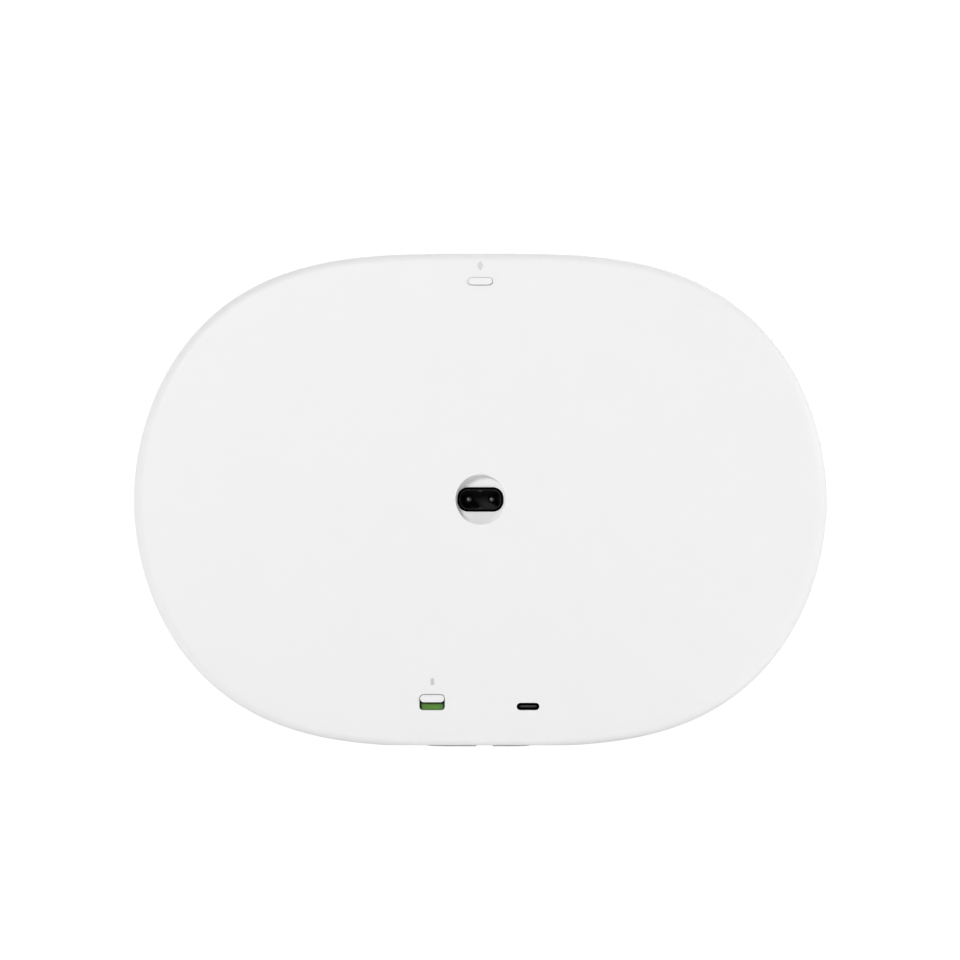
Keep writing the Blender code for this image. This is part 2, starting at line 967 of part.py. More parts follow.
# ---- main board, power supply and antennas ----
box("main_board", (-55, 55), (30.0, 31.6), (50.0, 136.0), "board_green")
box("shield_can", (-20, 20), (31.9, 35.4), (96.0, 130.0), "metal_alu")
fins = [(-30.0, 29.7), (-30.0, 17.0)]
for i in range(6):
    x = -30.0 + i * 11.6
    fins += [(x + 2.0, 17.0), (x + 2.0, 26.5)]
    if i < 5:
        fins += [(x + 11.6, 26.5), (x + 11.6, 17.0)]
fins += [(30.0, 26.5), (30.0, 29.7)]
prism("heat_sink", fins, 66.0, 112.0, on_z(), "metal_alu", smooth=False)
box("psu_board", (-48, 48), (46.0, 47.6), (62.0, 124.0), "board_green")
box("psu_transformer", (-44, -19), (48.0, 66.0), (78.0, 108.0), "tape_yellow")
lathe(
    "psu_capacitor",
    [(0, 48.0), (6.5, 48.0), (6.5, 67.2), (5.8, 68.0), (0, 68.0)],
    on_y(30, MID_Z),
    "metal_alu",
    18,
)
for side, name in ((1, "left"), (-1, "right")):
    x = sorted((side * 104.0, side * 105.2))
    box(f"antenna_{name}", x, (34.0, 56.0), (76.0, 110.0), "board_green")
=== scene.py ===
"""Looks of the wide rounded voice hub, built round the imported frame. Lengths are millimetres until a mesh is made."""

import json
import math

import bmesh
import bpy
import numpy as np
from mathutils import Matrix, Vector
from mathutils.geometry import delaunay_2d_cdt

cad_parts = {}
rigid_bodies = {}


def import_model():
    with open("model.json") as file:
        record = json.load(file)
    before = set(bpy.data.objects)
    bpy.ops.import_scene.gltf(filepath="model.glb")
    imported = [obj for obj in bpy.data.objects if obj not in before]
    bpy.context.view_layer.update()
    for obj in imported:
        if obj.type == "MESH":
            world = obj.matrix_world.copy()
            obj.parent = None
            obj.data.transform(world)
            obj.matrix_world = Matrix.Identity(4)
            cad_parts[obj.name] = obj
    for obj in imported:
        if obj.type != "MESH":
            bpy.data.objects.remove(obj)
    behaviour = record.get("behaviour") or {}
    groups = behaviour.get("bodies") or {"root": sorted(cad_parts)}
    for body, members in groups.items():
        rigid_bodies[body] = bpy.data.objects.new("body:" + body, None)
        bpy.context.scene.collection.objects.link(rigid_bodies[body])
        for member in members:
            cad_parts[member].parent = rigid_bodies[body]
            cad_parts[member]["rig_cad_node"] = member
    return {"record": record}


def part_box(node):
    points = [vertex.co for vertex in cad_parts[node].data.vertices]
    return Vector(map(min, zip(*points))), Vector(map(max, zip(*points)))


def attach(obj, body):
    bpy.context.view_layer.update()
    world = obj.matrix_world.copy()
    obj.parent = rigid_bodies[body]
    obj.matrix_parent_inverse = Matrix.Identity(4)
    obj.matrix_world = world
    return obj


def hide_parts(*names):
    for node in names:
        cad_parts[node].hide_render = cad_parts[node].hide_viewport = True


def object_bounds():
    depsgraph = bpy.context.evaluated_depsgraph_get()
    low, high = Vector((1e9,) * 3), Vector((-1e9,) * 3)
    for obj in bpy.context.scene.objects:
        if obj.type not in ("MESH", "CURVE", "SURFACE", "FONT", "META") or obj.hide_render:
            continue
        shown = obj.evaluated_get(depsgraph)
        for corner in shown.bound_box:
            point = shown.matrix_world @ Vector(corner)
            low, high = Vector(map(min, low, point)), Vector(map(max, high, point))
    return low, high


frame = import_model()
cad_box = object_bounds()

MM = 0.001

# ---- the CAD's outline and side profile ----
HALF_W, HALF_H = 130.0, 92.5
POW_X, POW_Z = 3.326, 1.915
MID_Z = 92.8
FRONT_W, FRONT_H = 130.35 / 130.0, 92.45 / 92.5
WAIST_M = 109.5
REAR_Y0, FRONT_Y0 = 6.5, 3.5
REAR_Y, FRONT_Y = 80.0, -80.0
REAR_DOME = 1.5
REAR_WALL, GRILLE_WALL = 2.2, 1.2
FLAT_Z = 0.9
AROUND = 384


def centre(node):
    lo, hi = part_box(node)
    return [(a + b) / 2 / MM for a, b in zip(lo, hi)]


def outline(n):
    """n points of the unit-scale outline, evenly spaced: x, z and the outward normal."""
    t = np.linspace(0, math.pi / 2, 6001)
    fx = HALF_W * np.cos(t) ** (2 / POW_X)
    fz = HALF_H * np.sin(t) ** (2 / POW_Z)
    run = np.concatenate([[0], np.cumsum(np.hypot(np.diff(fx), np.diff(fz)))])
    want = np.linspace(0, run[-1], n // 4 + 1)
    x, z = np.interp(want, run, fx), np.interp(want, run, fz)
    x[0], z[0], x[-1], z[-1] = HALF_W, 0.0, 0.0, HALF_H
    q = list(zip(x, z))
    pts = q[:-1] + [(-a, b) for a, b in reversed(q[1:])]
    pts += [(-a, -b) for a, b in q[:-1]] + [(a, -b) for a, b in reversed(q[1:])]
    pts = np.array(pts)
    gx = POW_X / HALF_W * np.abs(pts[:, 0] / HALF_W) ** (POW_X - 1) * np.sign(pts[:, 0])
    gz = POW_Z / HALF_H * np.abs(pts[:, 1] / HALF_H) ** (POW_Z - 1) * np.sign(pts[:, 1])
    size = np.hypot(gx, gz)
    return pts[:, 0], pts[:, 1], gx / size, gz / size


RIM = outline(AROUND)


def section(m, y, off=0.0, way=(0.0, 1.0), front=False, rim=RIM):
    """The section of half width m at depth y, moved in by off along the surface normal."""
    x, z, nx, nz = rim
    k = m / HALF_W
    dm, dy = way
    sign = -1.0 if front else 1.0
    fx, fz = (FRONT_W, FRONT_H) if front else (1.0, 1.0)
    h = x * nx + z * nz
    a = np.stack([nx * dy, -dm / HALF_W * h, nz * dy], 1)
    a *= sign / np.linalg.norm(a, axis=1)[:, None]
    base = np.stack([k * x * fx, np.full_like(x, y), MID_Z + k * z * fz], 1)
    return base - off * a


def rear_m(y):
    return WAIST_M + 20.2 * (np.maximum(np.asarray(y, float) - REAR_Y0, 0.0) / 67.5) ** 1.7


def rear_way(y):
    return (float(20.2 * 1.7 / 67.5 * (max(y - REAR_Y0, 0.0) / 67.5) ** 0.7), 1.0)


def front_m(y):
    return WAIST_M + 20.2 * (np.maximum(FRONT_Y0 - np.asarray(y, float), 0.0) / 59.5) ** 1.55


def front_way(y):
    return (float(20.2 * 1.55 / 59.5 * (max(FRONT_Y0 - y, 0.0) / 59.5) ** 0.55), -1.0)


def bezier(p, t):
    s = 1 - t
    at = [s**3 * p[0][i] + 3 * s * s * t * p[1][i] + 3 * s * t * t * p[2][i] + t**3 * p[3][i] for i in (0, 1)]
    way = [
        3 * s * s * (p[1][i] - p[0][i]) + 6 * s * t * (p[2][i] - p[1][i]) + 3 * t * t * (p[3][i] - p[2][i])
        for i in (0, 1)
    ]
    return at, way


def dome_y(k):
    return REAR_Y - REAR_DOME * k * k


REAR_EDGE = [(129.7, 74.0), (130.76, 75.9), (128.9, 78.5), (126.0, dome_y(126 / 130))]
FRONT_EDGE = [(127.63, -52.0), (133.71, -64.0), (127.9, -72.3), (112.0, -74.0)]


def scale_at(x, dz, fx=1.0, fz=1.0):
    """The outline scale whose section passes through x, dz; arrays."""
    x, dz = np.abs(np.asarray(x, float)) / fx / HALF_W, np.abs(np.asarray(dz, float)) / fz / HALF_H
    low, high = np.zeros_like(x + dz), np.full_like(x + dz, 2.0)
    for _ in range(48):
        mid = (low + high) / 2
        out = (x / mid) ** POW_X + (dz / mid) ** POW_Z > 1
        low, high = np.where(out, mid, low), np.where(out, high, mid)
    return high


def rear_face(x, z):
    """Depth of the rear face at x, z."""
    return dome_y(scale_at(x, np.asarray(z) - MID_Z))


def top_height(m, x):
    """Height of a section of half width m above x."""
    k = np.asarray(m, float) / HALF_W
    return MID_Z + k * HALF_H * np.maximum(1 - np.abs(x / (k * HALF_W)) ** POW_X, 0) ** (1 / POW_Z)


# ---- mesh building ----
def inside(points, loop):
    """Which points lie inside the closed loop."""
    x, y = points[:, 0][:, None], points[:, 1][:, None]
    ax, ay = loop[:, 0][None], loop[:, 1][None]
    bx, by = np.roll(loop[:, 0], -1)[None], np.roll(loop[:, 1], -1)[None]
    cross = (ay > y) != (by > y)
    with np.errstate(divide="ignore", invalid="ignore"):
        at = ax + (y - ay) * (bx - ax) / (by - ay)
    return (cross & (x < at)).sum(1) % 2 == 1


class Shape:
    def __init__(self):
        self.v, self.f, self.n, self.d = [], [], 0, []

    def add(self, pts, dom=None, sheet=0):
        """dom is each point's place on the unrolled sheet, and sheet is 0 outside or 1 inside."""
        pts = np.atleast_2d(np.asarray(pts, float))
        self.v.append(pts)
        flat_at = np.zeros((len(pts), 2)) if dom is None else np.asarray(dom, float)
        self.d.append(np.column_stack([flat_at, np.full(len(pts), float(sheet))]))
        ids = np.arange(self.n, self.n + len(pts))
        self.n += len(pts)
        return ids

    def points(self):
        return np.concatenate(self.v)

    def band(self, a, b, closed=True):
        n = len(a)
        for i in range(n if closed else n - 1):
            j = (i + 1) % n
            self.f.append((a[i], b[i], b[j], a[j]))

    def run(self, rings, loop=False):
        ids = [self.add(r) for r in rings]
        for a, b in zip(ids, ids[1:]):
            if len(a) == 1:
                self.fan(b, a[0])
            elif len(b) == 1:
                self.fan(a, b[0])
            else:
                self.band(a, b)
        if loop:
            self.band(ids[-1], ids[0])
        return ids

    def fan(self, ring, pole):
        n = len(ring)
        for i in range(n):
            self.f.append((ring[i], ring[(i + 1) % n], pole))

    def cap(self, ring):
        self.f.append(tuple(ring))

    def fill(self, loops, extra, lift):
        """Triangles inside the first loop and outside the rest. loops are (ids, uv); extra uv points are lifted and added."""
        ids, uv, edges = [], [], []
        for loop_ids, loop_uv in loops:
            base, n = len(uv), len(loop_uv)
            ids += list(loop_ids)
            uv += [tuple(p) for p in loop_uv]
            edges += [(base + i, base + (i + 1) % n) for i in range(n)]
        if len(extra):
            ids += list(self.add(lift(np.asarray(extra, float))))
            uv += [tuple(p) for p in extra]
        _, _, faces, orig, _, _ = delaunay_2d_cdt(
            [Vector((float(a), float(b))) for a, b in uv], edges, [], 0, 1e-6, True
        )
        pick = [o[0] for o in orig]
        at = np.array(uv)
        tri = np.array([[pick[i] for i in f] for f in faces])
        mid = at[tri].mean(1)
        keep = inside(mid, np.asarray(loops[0][1], float))
        for _, loop_uv in loops[1:]:
            keep &= ~inside(mid, np.asarray(loop_uv, float))
        ids = np.array(ids)
        for t in tri[keep]:
            self.f.append(tuple(ids[t]))

    def done(self, name, mat, body, nodes=(), sharp=None, uv=None):
        pts = self.points()
        mesh = bpy.data.meshes.new(name)
        mesh.from_pydata((pts * MM).tolist(), [], [tuple(int(i) for i in f) for f in self.f])
        bm = bmesh.new()
        bm.from_mesh(mesh)
        bmesh.ops.recalc_face_normals(bm, faces=bm.faces)
        if bm.calc_volume(signed=True) < 0:
            bmesh.ops.reverse_faces(bm, faces=bm.faces)
        open_edges = sum(not e.is_manifold for e in bm.edges)
        if open_edges:
            print(f"open edges in {name}: {open_edges}")
        bm.to_mesh(mesh)
        bm.free()
        mesh.materials.append(mat)
        mesh.shade_smooth()
        if sharp:
            mesh.set_sharp_from_angle(angle=math.radians(sharp))
        if uv:
            unroll(mesh, np.concatenate(self.d), uv)
        made = bpy.data.objects.new(name, mesh)
        bpy.context.scene.collection.objects.link(made)
        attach(made, body)
        if nodes:
            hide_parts(*nodes)
        return made


def unroll(mesh, dom, wrap):
    """A bake map: the outside sheet in the left half, the inside one in the right, hole walls folded on to the outside."""
    vertex = np.empty(len(mesh.loops), np.int32)
    mesh.loops.foreach_get("vertex_index", vertex)
    start = np.empty(len(mesh.polygons), np.int32)
    mesh.polygons.foreach_get("loop_start", start)
    count = np.diff(np.append(start, len(vertex)))
    u, v, sheet = dom[vertex].T
    wide = np.maximum.reduceat(u, start) - np.minimum.reduceat(u, start)
    far = np.repeat(wide > wrap / 2, count)
    u = np.where(far & (u < wrap / 2), u + wrap, u)
    within = np.repeat(np.minimum.reduceat(sheet, start), count)
    low, high = dom[:, :2].min(0), dom[:, :2].max(0)
    layer = mesh.uv_layers.new(name="OFBake")
    at = np.stack([0.005 + 0.485 * (u - low[0]) / max(wrap * 1.02, high[0] - low[0]) + 0.5 * within, 0.01 + 0.98 * (v - low[1]) / (high[1] - low[1])], 1)
    layer.data.foreach_set("uv", at.ravel())


def rr(w, h, r, corner=10, side=10, low=None):
    """Rounded rectangle about 0, 0, anticlockwise, points on its straight sides too; low is the lower corners' radius."""
    r = min(r, w / 2 - 1e-3, h / 2 - 1e-3)
    q = r if low is None else low
    pts = []
    sides = [
        ((w / 2, -h / 2 + q), (w / 2, h / 2 - r), (w / 2 - r, h / 2 - r), 0, r),
        ((w / 2 - r, h / 2), (-w / 2 + r, h / 2), (-w / 2 + r, h / 2 - r), 90, r),
        ((-w / 2, h / 2 - r), (-w / 2, -h / 2 + q), (-w / 2 + q, -h / 2 + q), 180, q),
        ((-w / 2 + q, -h / 2), (w / 2 - q, -h / 2), (w / 2 - q, -h / 2 + q), 270, q),
    ]
    for a, b, c, start, r in sides:
        for i in range(side):
            f = i / side
            pts.append((a[0] + f * (b[0] - a[0]), a[1] + f * (b[1] - a[1])))
        for i in range(corner):
            t = math.radians(start + 90 * i / corner)
            pts.append((c[0] + r * math.cos(t), c[1] + r * math.sin(t)))
    return np.array(pts)


def ring_xy(r, n):
    t = np.arange(n) * 2 * math.pi / n
    return np.stack([r * np.cos(t), r * np.sin(t)], 1)


def arc_steps(r, n):
    """(inset, drop) pairs of a quarter round edge of radius r, from the face to the wall."""
    return [(r * (1 - math.sin(a)), r * (1 - math.cos(a))) for a in np.linspace(0, math.pi / 2, n + 1)]


def hexagons(x0, x1, y0, y1, step):
    pts = []
    rows = int((y1 - y0) / (step * 0.866)) + 1
    for j in range(rows):
        for i in range(int((x1 - x0) / step) + 2):
            pts.append((x0 + (i + 0.5 * (j % 2)) * step, y0 + j * step * 0.866))
    return np.array(pts)


def clear_of(points, loops, gap):
    keep = np.ones(len(points), bool)
    for loop in loops:
        d = np.sqrt(((points[:, None] - np.asarray(loop)[None]) ** 2).sum(2)).min(1)
        keep &= d > gap
    return points[keep]


def perforate(made, loop_ids, loop_uv, pitch, hole_r, lifts, gap, dom_of):
    """Fills both sheets inside the loop with round holes on a hexagonal lattice. loop_ids and lifts are (outside, inside)."""
    loop = np.asarray(loop_uv, float)
    x0, y0 = loop.min(0)
    x1, y1 = loop.max(0)
    side = pitch / math.sqrt(3)
    rows, cols = int((y1 - y0) / (1.5 * side)) + 2, int((x1 - x0) / pitch) + 2
    j, i = np.mgrid[0:rows, 0:cols]
    cell = np.stack([(2 * i + j % 2).ravel(), (3 * j).ravel()], 1)
    unit = np.array([pitch / 2, side / 2])
    base = np.array([x0 + ((x1 - x0) % pitch) / 2, y0 + ((y1 - y0) % (1.5 * side)) / 2])
    at = base + cell * unit
    keep = inside(at, loop)
    cell, at = cell[keep], at[keep]
    ahead = np.roll(loop, -1, axis=0)
    dense = np.concatenate([loop + f * (ahead - loop) for f in np.linspace(0, 1, 9)[:-1]])
    d = np.concatenate([np.sqrt(((p[:, None] - dense[None]) ** 2).sum(2)).min(1) for p in np.array_split(at, 64)])
    cell, at = cell[d > gap], at[d > gap]
    turn = np.array([(1, 1), (0, 2), (-1, 1), (-1, -1), (0, -2), (1, -1)])
    corners = cell[:, None] + turn[None]
    grid, back = np.unique(corners.reshape(-1, 2), axis=0, return_inverse=True)
    back = back.reshape(-1, 6)
    grid_uv = base + grid * unit
    angle = np.arange(12) * math.pi / 6
    hole_uv = (at[:, None] + hole_r * np.stack([np.cos(angle), np.sin(angle)], 1)[None]).reshape(-1, 2)
    edges = np.stack([back, np.roll(back, -1, axis=1)], 2).reshape(-1, 2)
    edges, seen = np.unique(np.sort(edges, axis=1), axis=0, return_counts=True)
    rim = edges[seen == 1]
    rim_points, rim_at = np.unique(rim, return_inverse=True)
    rim_at = rim_at.reshape(-1, 2) + len(loop)
    n = len(loop)
    uv = np.concatenate([loop, grid_uv[rim_points]])
    links = [(a, (a + 1) % n) for a in range(n)] + [tuple(int(c) for c in e) for e in rim_at]
    _, _, faces, orig, _, _ = delaunay_2d_cdt([Vector((float(a), float(b))) for a, b in uv], links, [], 0, 1e-6, True)
    pick = np.array([o[0] for o in orig])
    tri = pick[np.array(faces)]
    mid = uv[tri].mean(1)
    near = np.concatenate([((p[:, None] - at[None]) ** 2).sum(2).argmin(1) for p in np.array_split(mid, 16)])
    off = np.abs(mid - at[near])
    in_cell = (off[:, 0] <= pitch / 2 + 1e-4) & (off[:, 1] + off[:, 0] / math.sqrt(3) <= side + 1e-4)
    tri = tri[inside(mid, loop) & ~in_cell]
    walls = []
    for sheet in (0, 1):
        corner_ids = made.add(lifts[sheet](grid_uv), dom_of(grid_uv), sheet)
        hole_ids = made.add(lifts[sheet](hole_uv), dom_of(hole_uv), sheet).reshape(-1, 12)
        walls.append(hole_ids)
        all_ids = np.concatenate([np.asarray(loop_ids[sheet]), corner_ids[rim_points]])
        made.f += [tuple(t) for t in all_ids[tri].tolist()]
        c = corner_ids[back]
        for k in range(6):
            a, b, e = hole_ids[:, 2 * k], hole_ids[:, 2 * k + 1], hole_ids[:, (2 * k + 2) % 12]
            made.f += np.stack([c[:, k], a, b], 1).tolist()
            made.f += np.stack([c[:, k], b, e], 1).tolist()
            made.f += np.stack([c[:, k], e, c[:, (k + 1) % 6]], 1).tolist()
    for k in range(12):
        m = (k + 1) % 12
        made.f += np.stack([walls[0][:, k], walls[1][:, k], walls[1][:, m], walls[0][:, m]], 1).tolist()
    return len(at)


# ---- materials ----
KNOB_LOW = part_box("mute_slider_knob")[0][2]


def material(name, colour, rough, metallic=0.0, grain=None, tint=0.0, rough_by=0.0, cloud=60.0, painted_shade=None, knob_shadow=None, **more):
    """A Principled material. grain is (feature size in mm, bump height in mm, detail); tint and rough_by are how far
    colour and roughness wander over cloudy patches of the given scale."""
    made = bpy.data.materials.new(name)
    made.use_nodes = True
    nodes, links = made.node_tree.nodes, made.node_tree.links
    shader = nodes["Principled BSDF"]
    shader.inputs["Base Color"].default_value = (*colour, 1)
    shader.inputs["Roughness"].default_value = rough
    shader.inputs["Metallic"].default_value = metallic
    for key, value in more.items():
        shader.inputs[key.replace("_", " ")].default_value = value
    place = nodes.new("ShaderNodeTexCoord")
    if tint or rough_by:
        noise = nodes.new("ShaderNodeTexNoise")
        noise.inputs["Scale"].default_value = cloud
        noise.inputs["Detail"].default_value = 5
        noise.inputs["Roughness"].default_value = 0.6
        links.new(place.outputs["Object"], noise.inputs["Vector"])
        if tint:
            ramp = nodes.new("ShaderNodeValToRGB")
            ramp.color_ramp.elements[0].position = 0.3
            ramp.color_ramp.elements[1].position = 0.7
            ramp.color_ramp.elements[0].color = (*[max(c * (1 - tint), 0) for c in colour], 1)
            ramp.color_ramp.elements[1].color = (*[min(c * (1 + tint), 1) for c in colour], 1)
            links.new(noise.outputs["Fac"], ramp.inputs["Fac"])
            links.new(ramp.outputs["Color"], shader.inputs["Base Color"])
        if rough_by:
            span = nodes.new("ShaderNodeMapRange")
            span.inputs["From Min"].default_value = 0.3
            span.inputs["From Max"].default_value = 0.7
            span.inputs["To Min"].default_value = max(rough - rough_by, 0.02)
            span.inputs["To Max"].default_value = min(rough + rough_by, 1)
            links.new(noise.outputs["Fac"], span.inputs["Value"])
            links.new(span.outputs["Result"], shader.inputs["Roughness"])
    if painted_shade:
        # painted shade: the colour turns to a darker one between two distances along an axis, in mm; on X, from the
        # mute slot's middle. It darkens the inlet's front rim and the green flag's sides, where shade falls
        axis, start, end, shade_colour = painted_shade
        split = nodes.new("ShaderNodeSeparateXYZ")
        links.new(place.outputs["Object"], split.inputs["Vector"])
        along = split.outputs[axis]
        if axis == "X":
            middle = nodes.new("ShaderNodeMath")
            middle.operation = "SUBTRACT"
            middle.inputs[1].default_value = SLOT_X * MM
            size_of = nodes.new("ShaderNodeMath")
            size_of.operation = "ABSOLUTE"
            links.new(along, middle.inputs[0])
            links.new(middle.outputs["Value"], size_of.inputs[0])
            along = size_of.outputs["Value"]
        part = nodes.new("ShaderNodeMapRange")
        part.inputs["From Min"].default_value = start * MM
        part.inputs["From Max"].default_value = end * MM
        links.new(along, part.inputs["Value"])
        turn = nodes.new("ShaderNodeMix")
        turn.data_type = "RGBA"
        links.new(part.outputs["Result"], turn.inputs["Factor"])
        if tint:
            links.new(ramp.outputs["Color"], turn.inputs["A"])
        else:
            turn.inputs["A"].default_value = (*colour, 1)
        turn.inputs["B"].default_value = (*shade_colour, 1)
        links.new(turn.outputs["Result"], shader.inputs["Base Color"])
        if knob_shadow:
            # painted shadow: a dark band along the flag's edge beneath the knob, at heights just below the knob's lower
            # edge, standing for the knob's shadow on the flag
            low, high, dark = knob_shadow
            near = nodes.new("ShaderNodeMapRange")
            near.inputs["From Min"].default_value = KNOB_LOW + high * MM
            near.inputs["From Max"].default_value = KNOB_LOW + low * MM
            links.new(split.outputs["Z"], near.inputs["Value"])
            band = nodes.new("ShaderNodeMix")
            band.data_type = "RGBA"
            links.new(near.outputs["Result"], band.inputs["Factor"])
            links.new(turn.outputs["Result"], band.inputs["A"])
            band.inputs["B"].default_value = (*dark, 1)
            links.new(band.outputs["Result"], shader.inputs["Base Color"])
    if grain:
        size, height, detail = grain
        fine = nodes.new("ShaderNodeTexNoise")
        fine.inputs["Scale"].default_value = 1 / (size * MM)
        fine.inputs["Detail"].default_value = detail
        links.new(place.outputs["Object"], fine.inputs["Vector"])
        bump = nodes.new("ShaderNodeBump")
        bump.inputs["Strength"].default_value = 1.0
        bump.inputs["Distance"].default_value = height * MM
        links.new(fine.outputs["Fac"], bump.inputs["Height"])
        links.new(bump.outputs["Normal"], shader.inputs["Normal"])
    return made


WHITE = (0.875, 0.875, 0.873)
SLOT_X = centre("mute_slider_knob")[0]
M = {
    "shell_white": material("shell_white_look", WHITE, 0.52, grain=(0.35, 0.006, 3), tint=0.004, rough_by=0.05),
    "button_white": material("button_white_look", WHITE, 0.48, grain=(0.3, 0.004, 3), tint=0.004, rough_by=0.05),
    "grille_white": material("grille_white_look", (0.85, 0.848, 0.843), 0.42, grain=(0.25, 0.004, 2), tint=0.006, rough_by=0.06),
    "skirt_white": material("skirt_white_look", (0.62, 0.62, 0.62), 0.6, grain=(0.3, 0.004, 3), tint=0.01, rough_by=0.05),
    "mark_light": material("mark_light_look", (0.68, 0.68, 0.68), 0.6, grain=(0.2, 0.003, 2), tint=0.05),
    "mark_grey": material("mark_grey_look", (0.62, 0.62, 0.62), 0.6, grain=(0.2, 0.003, 2), tint=0.05),
    "dark_plastic": material("dark_plastic_look", (0.012, 0.012, 0.0125), 0.42, grain=(0.25, 0.006, 3), tint=0.15, rough_by=0.08),
    # inlet_black: the socket's front rim face is painted near-black, a painted shadow round the socket's mouth
    "inlet_black": material("inlet_black_look", (0.04, 0.04, 0.0403), 0.6, grain=(0.25, 0.005, 3), tint=0.12, rough_by=0.06, painted_shade=("Y", 74.7, 74.85, (0.0008, 0.0008, 0.0008)), Specular_IOR_Level=0.0),
    "port_black": material("port_black_look", (0.0015, 0.0015, 0.0015), 0.5, grain=(0.25, 0.004, 2), tint=0.15, rough_by=0.05, Specular_IOR_Level=0.06),
    "tongue_grey": material("tongue_grey_look", (0.028, 0.028, 0.029), 0.5, grain=(0.2, 0.004, 2), tint=0.1, rough_by=0.05),
    "cloth_black": material("cloth_black_look", (0.012, 0.012, 0.012), 0.95, grain=(0.4, 0.08, 4), tint=0.3, rough_by=0.04),
    "foot_grey": material("foot_grey_look", (0.11, 0.11, 0.115), 0.8, grain=(0.5, 0.02, 4), tint=0.08, rough_by=0.08),
    "tread_grey": material("tread_grey_look", (0.5, 0.5, 0.5), 0.8, grain=(0.5, 0.02, 4), tint=0.08, rough_by=0.08),
    "pin_steel": material("pin_steel_look", (0.11, 0.11, 0.109), 0.45, 1.0, grain=(0.12, 0.002, 2), tint=0.06, rough_by=0.08, cloud=900),
    # flag_green: painted shade darkens its sides beyond 3.7 mm from the slot's middle, and a painted shadow darkens it
    # beneath the knob
    "flag_green": material("flag_green_look", (0.125, 0.30, 0.06), 0.5, grain=(0.3, 0.004, 2), tint=0.06, rough_by=0.06, cloud=300, painted_shade=("X", 3.7, 4.4, (0.012, 0.022, 0.008)), knob_shadow=(-0.4, -1.0, (0.016, 0.03, 0.012)), Specular_IOR_Level=0.2),
    "flag_amber": material("flag_amber_look", (0.8, 0.27, 0.03), 0.5, grain=(0.3, 0.004, 2), tint=0.06, rough_by=0.06, cloud=300),
    "board_green": material("board_green_look", (0.02, 0.12, 0.06), 0.4, grain=(0.6, 0.02, 4), tint=0.25, rough_by=0.1, cloud=300),
    "metal_alu": material("metal_alu_look", (0.68, 0.69, 0.7), 0.38, 1.0, grain=(0.4, 0.01, 4), tint=0.05, rough_by=0.1, cloud=200),
    "magnet_black": material("magnet_black_look", (0.035, 0.035, 0.038), 0.5, 0.3, grain=(0.5, 0.03, 5), tint=0.2, rough_by=0.1, cloud=200),
    "cone_grey": material("cone_grey_look", (0.06, 0.06, 0.062), 0.85, grain=(0.8, 0.05, 5), tint=0.2, rough_by=0.08, cloud=200),
    "rubber_black": material("rubber_black_look", (0.022, 0.022, 0.023), 0.7, grain=(0.4, 0.01, 4), tint=0.15, rough_by=0.08),
    "light_clear": material("light_clear_look", (0.9, 0.9, 0.9), 0.15, grain=(0.3, 0.003, 2), tint=0.02, rough_by=0.05, Transmission_Weight=0.7),
    "tape_yellow": material("tape_yellow_look", (0.68, 0.47, 0.06), 0.4, grain=(0.8, 0.02, 3), tint=0.12, rough_by=0.1, cloud=200),
    "dome_silk": material("dome_silk_look", (0.05, 0.05, 0.055), 0.45, grain=(0.3, 0.02, 4), tint=0.2, rough_by=0.1, cloud=400),
}

# every carried-over CAD node gets the look of its slot
SLOT_OF = {row["node"]: row["material_slot"] for row in frame["record"]["subparts"]}
for node, slot_name in SLOT_OF.items():
    held = bpy.data.objects.get(node)
    if held is None:
        held = next((o for o in bpy.data.objects if o.get("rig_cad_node") == node), None)
    if held is not None and held.type == "MESH":
        if not held.material_slots:
            held.data.materials.append(None)
        for s in held.material_slots:
            s.material = M[slot_name]

# ---- rear shell ----
RX, RY, RZ = centre("inlet_socket")
RECESS_Z = RZ
RECESS_R, FLOOR_Y, CUP_BACK = 9.3, 74.5, 72.0
BX, _, BZ = centre("pairing_button")
UX, _, UZ = centre("usb_c_shell")
KX, _, _ = centre("mute_slider_knob")
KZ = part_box("mute_slider_knob")[0][2] / MM + 2.75 / 2
SLOT_W, SLOT_H = 9.5, 5.95
MZ = KZ + 2.75 / 2 + 0.2 - SLOT_H / 2


def rear_uv(loop, cx, cz):
    return np.stack([cx + loop[:, 0], cz + loop[:, 1]], 1)


def rear_lift(uv, back=0.0):
    uv = np.atleast_2d(uv)
    return np.stack([uv[:, 0], rear_face(uv[:, 0], uv[:, 1]) - back, uv[:, 1]], 1)


shell = Shape()
flare = [6.5, 7.2, 10, 14, 18, 22, 26, 30, 34, 38, 42, 46, 50, 54, 57, 60, 63, 66, 68.5, 71, 73]
outer = [section(float(rear_m(y)) - (0.35 if y == 6.5 else 0), y) for y in flare]
for t in np.linspace(0, 1, 15):
    at, _ = bezier(REAR_EDGE, float(t))
    outer.append(section(*at))
outer = [shell.add(r) for r in outer]
inner = [shell.add(section(float(rear_m(y)), y, REAR_WALL, rear_way(y))) for y in flare if y <= 71]
inner.append(shell.add(section(123.0, dome_y(123 / 130) - REAR_WALL)))
shell.band(outer[0], inner[0])

# window for the top control strip
PX, PY, _ = centre("touch_panel")
top = AROUND // 4
half_window = 27
lo_ring, hi_ring = flare.index(26), flare.index(60)


def window_loop(ids, lo=lo_ring, hi=hi_ring, first=top - half_window, last=top + half_window):
    loop = list(ids[lo][first : last + 1])
    loop += [ids[r][last] for r in range(lo + 1, hi)]
    loop += list(ids[hi][first : last + 1][::-1])
    loop += [ids[r][first] for r in range(hi - 1, lo, -1)]
    return loop


for ids in (outer, inner):
    for r, (a, b) in enumerate(zip(ids, ids[1:])):
        for i in range(AROUND):
            if lo_ring <= r < hi_ring and top - half_window <= i < top + half_window:
                continue
            j = (i + 1) % AROUND
            shell.f.append((a[i], b[i], b[j], a[j]))


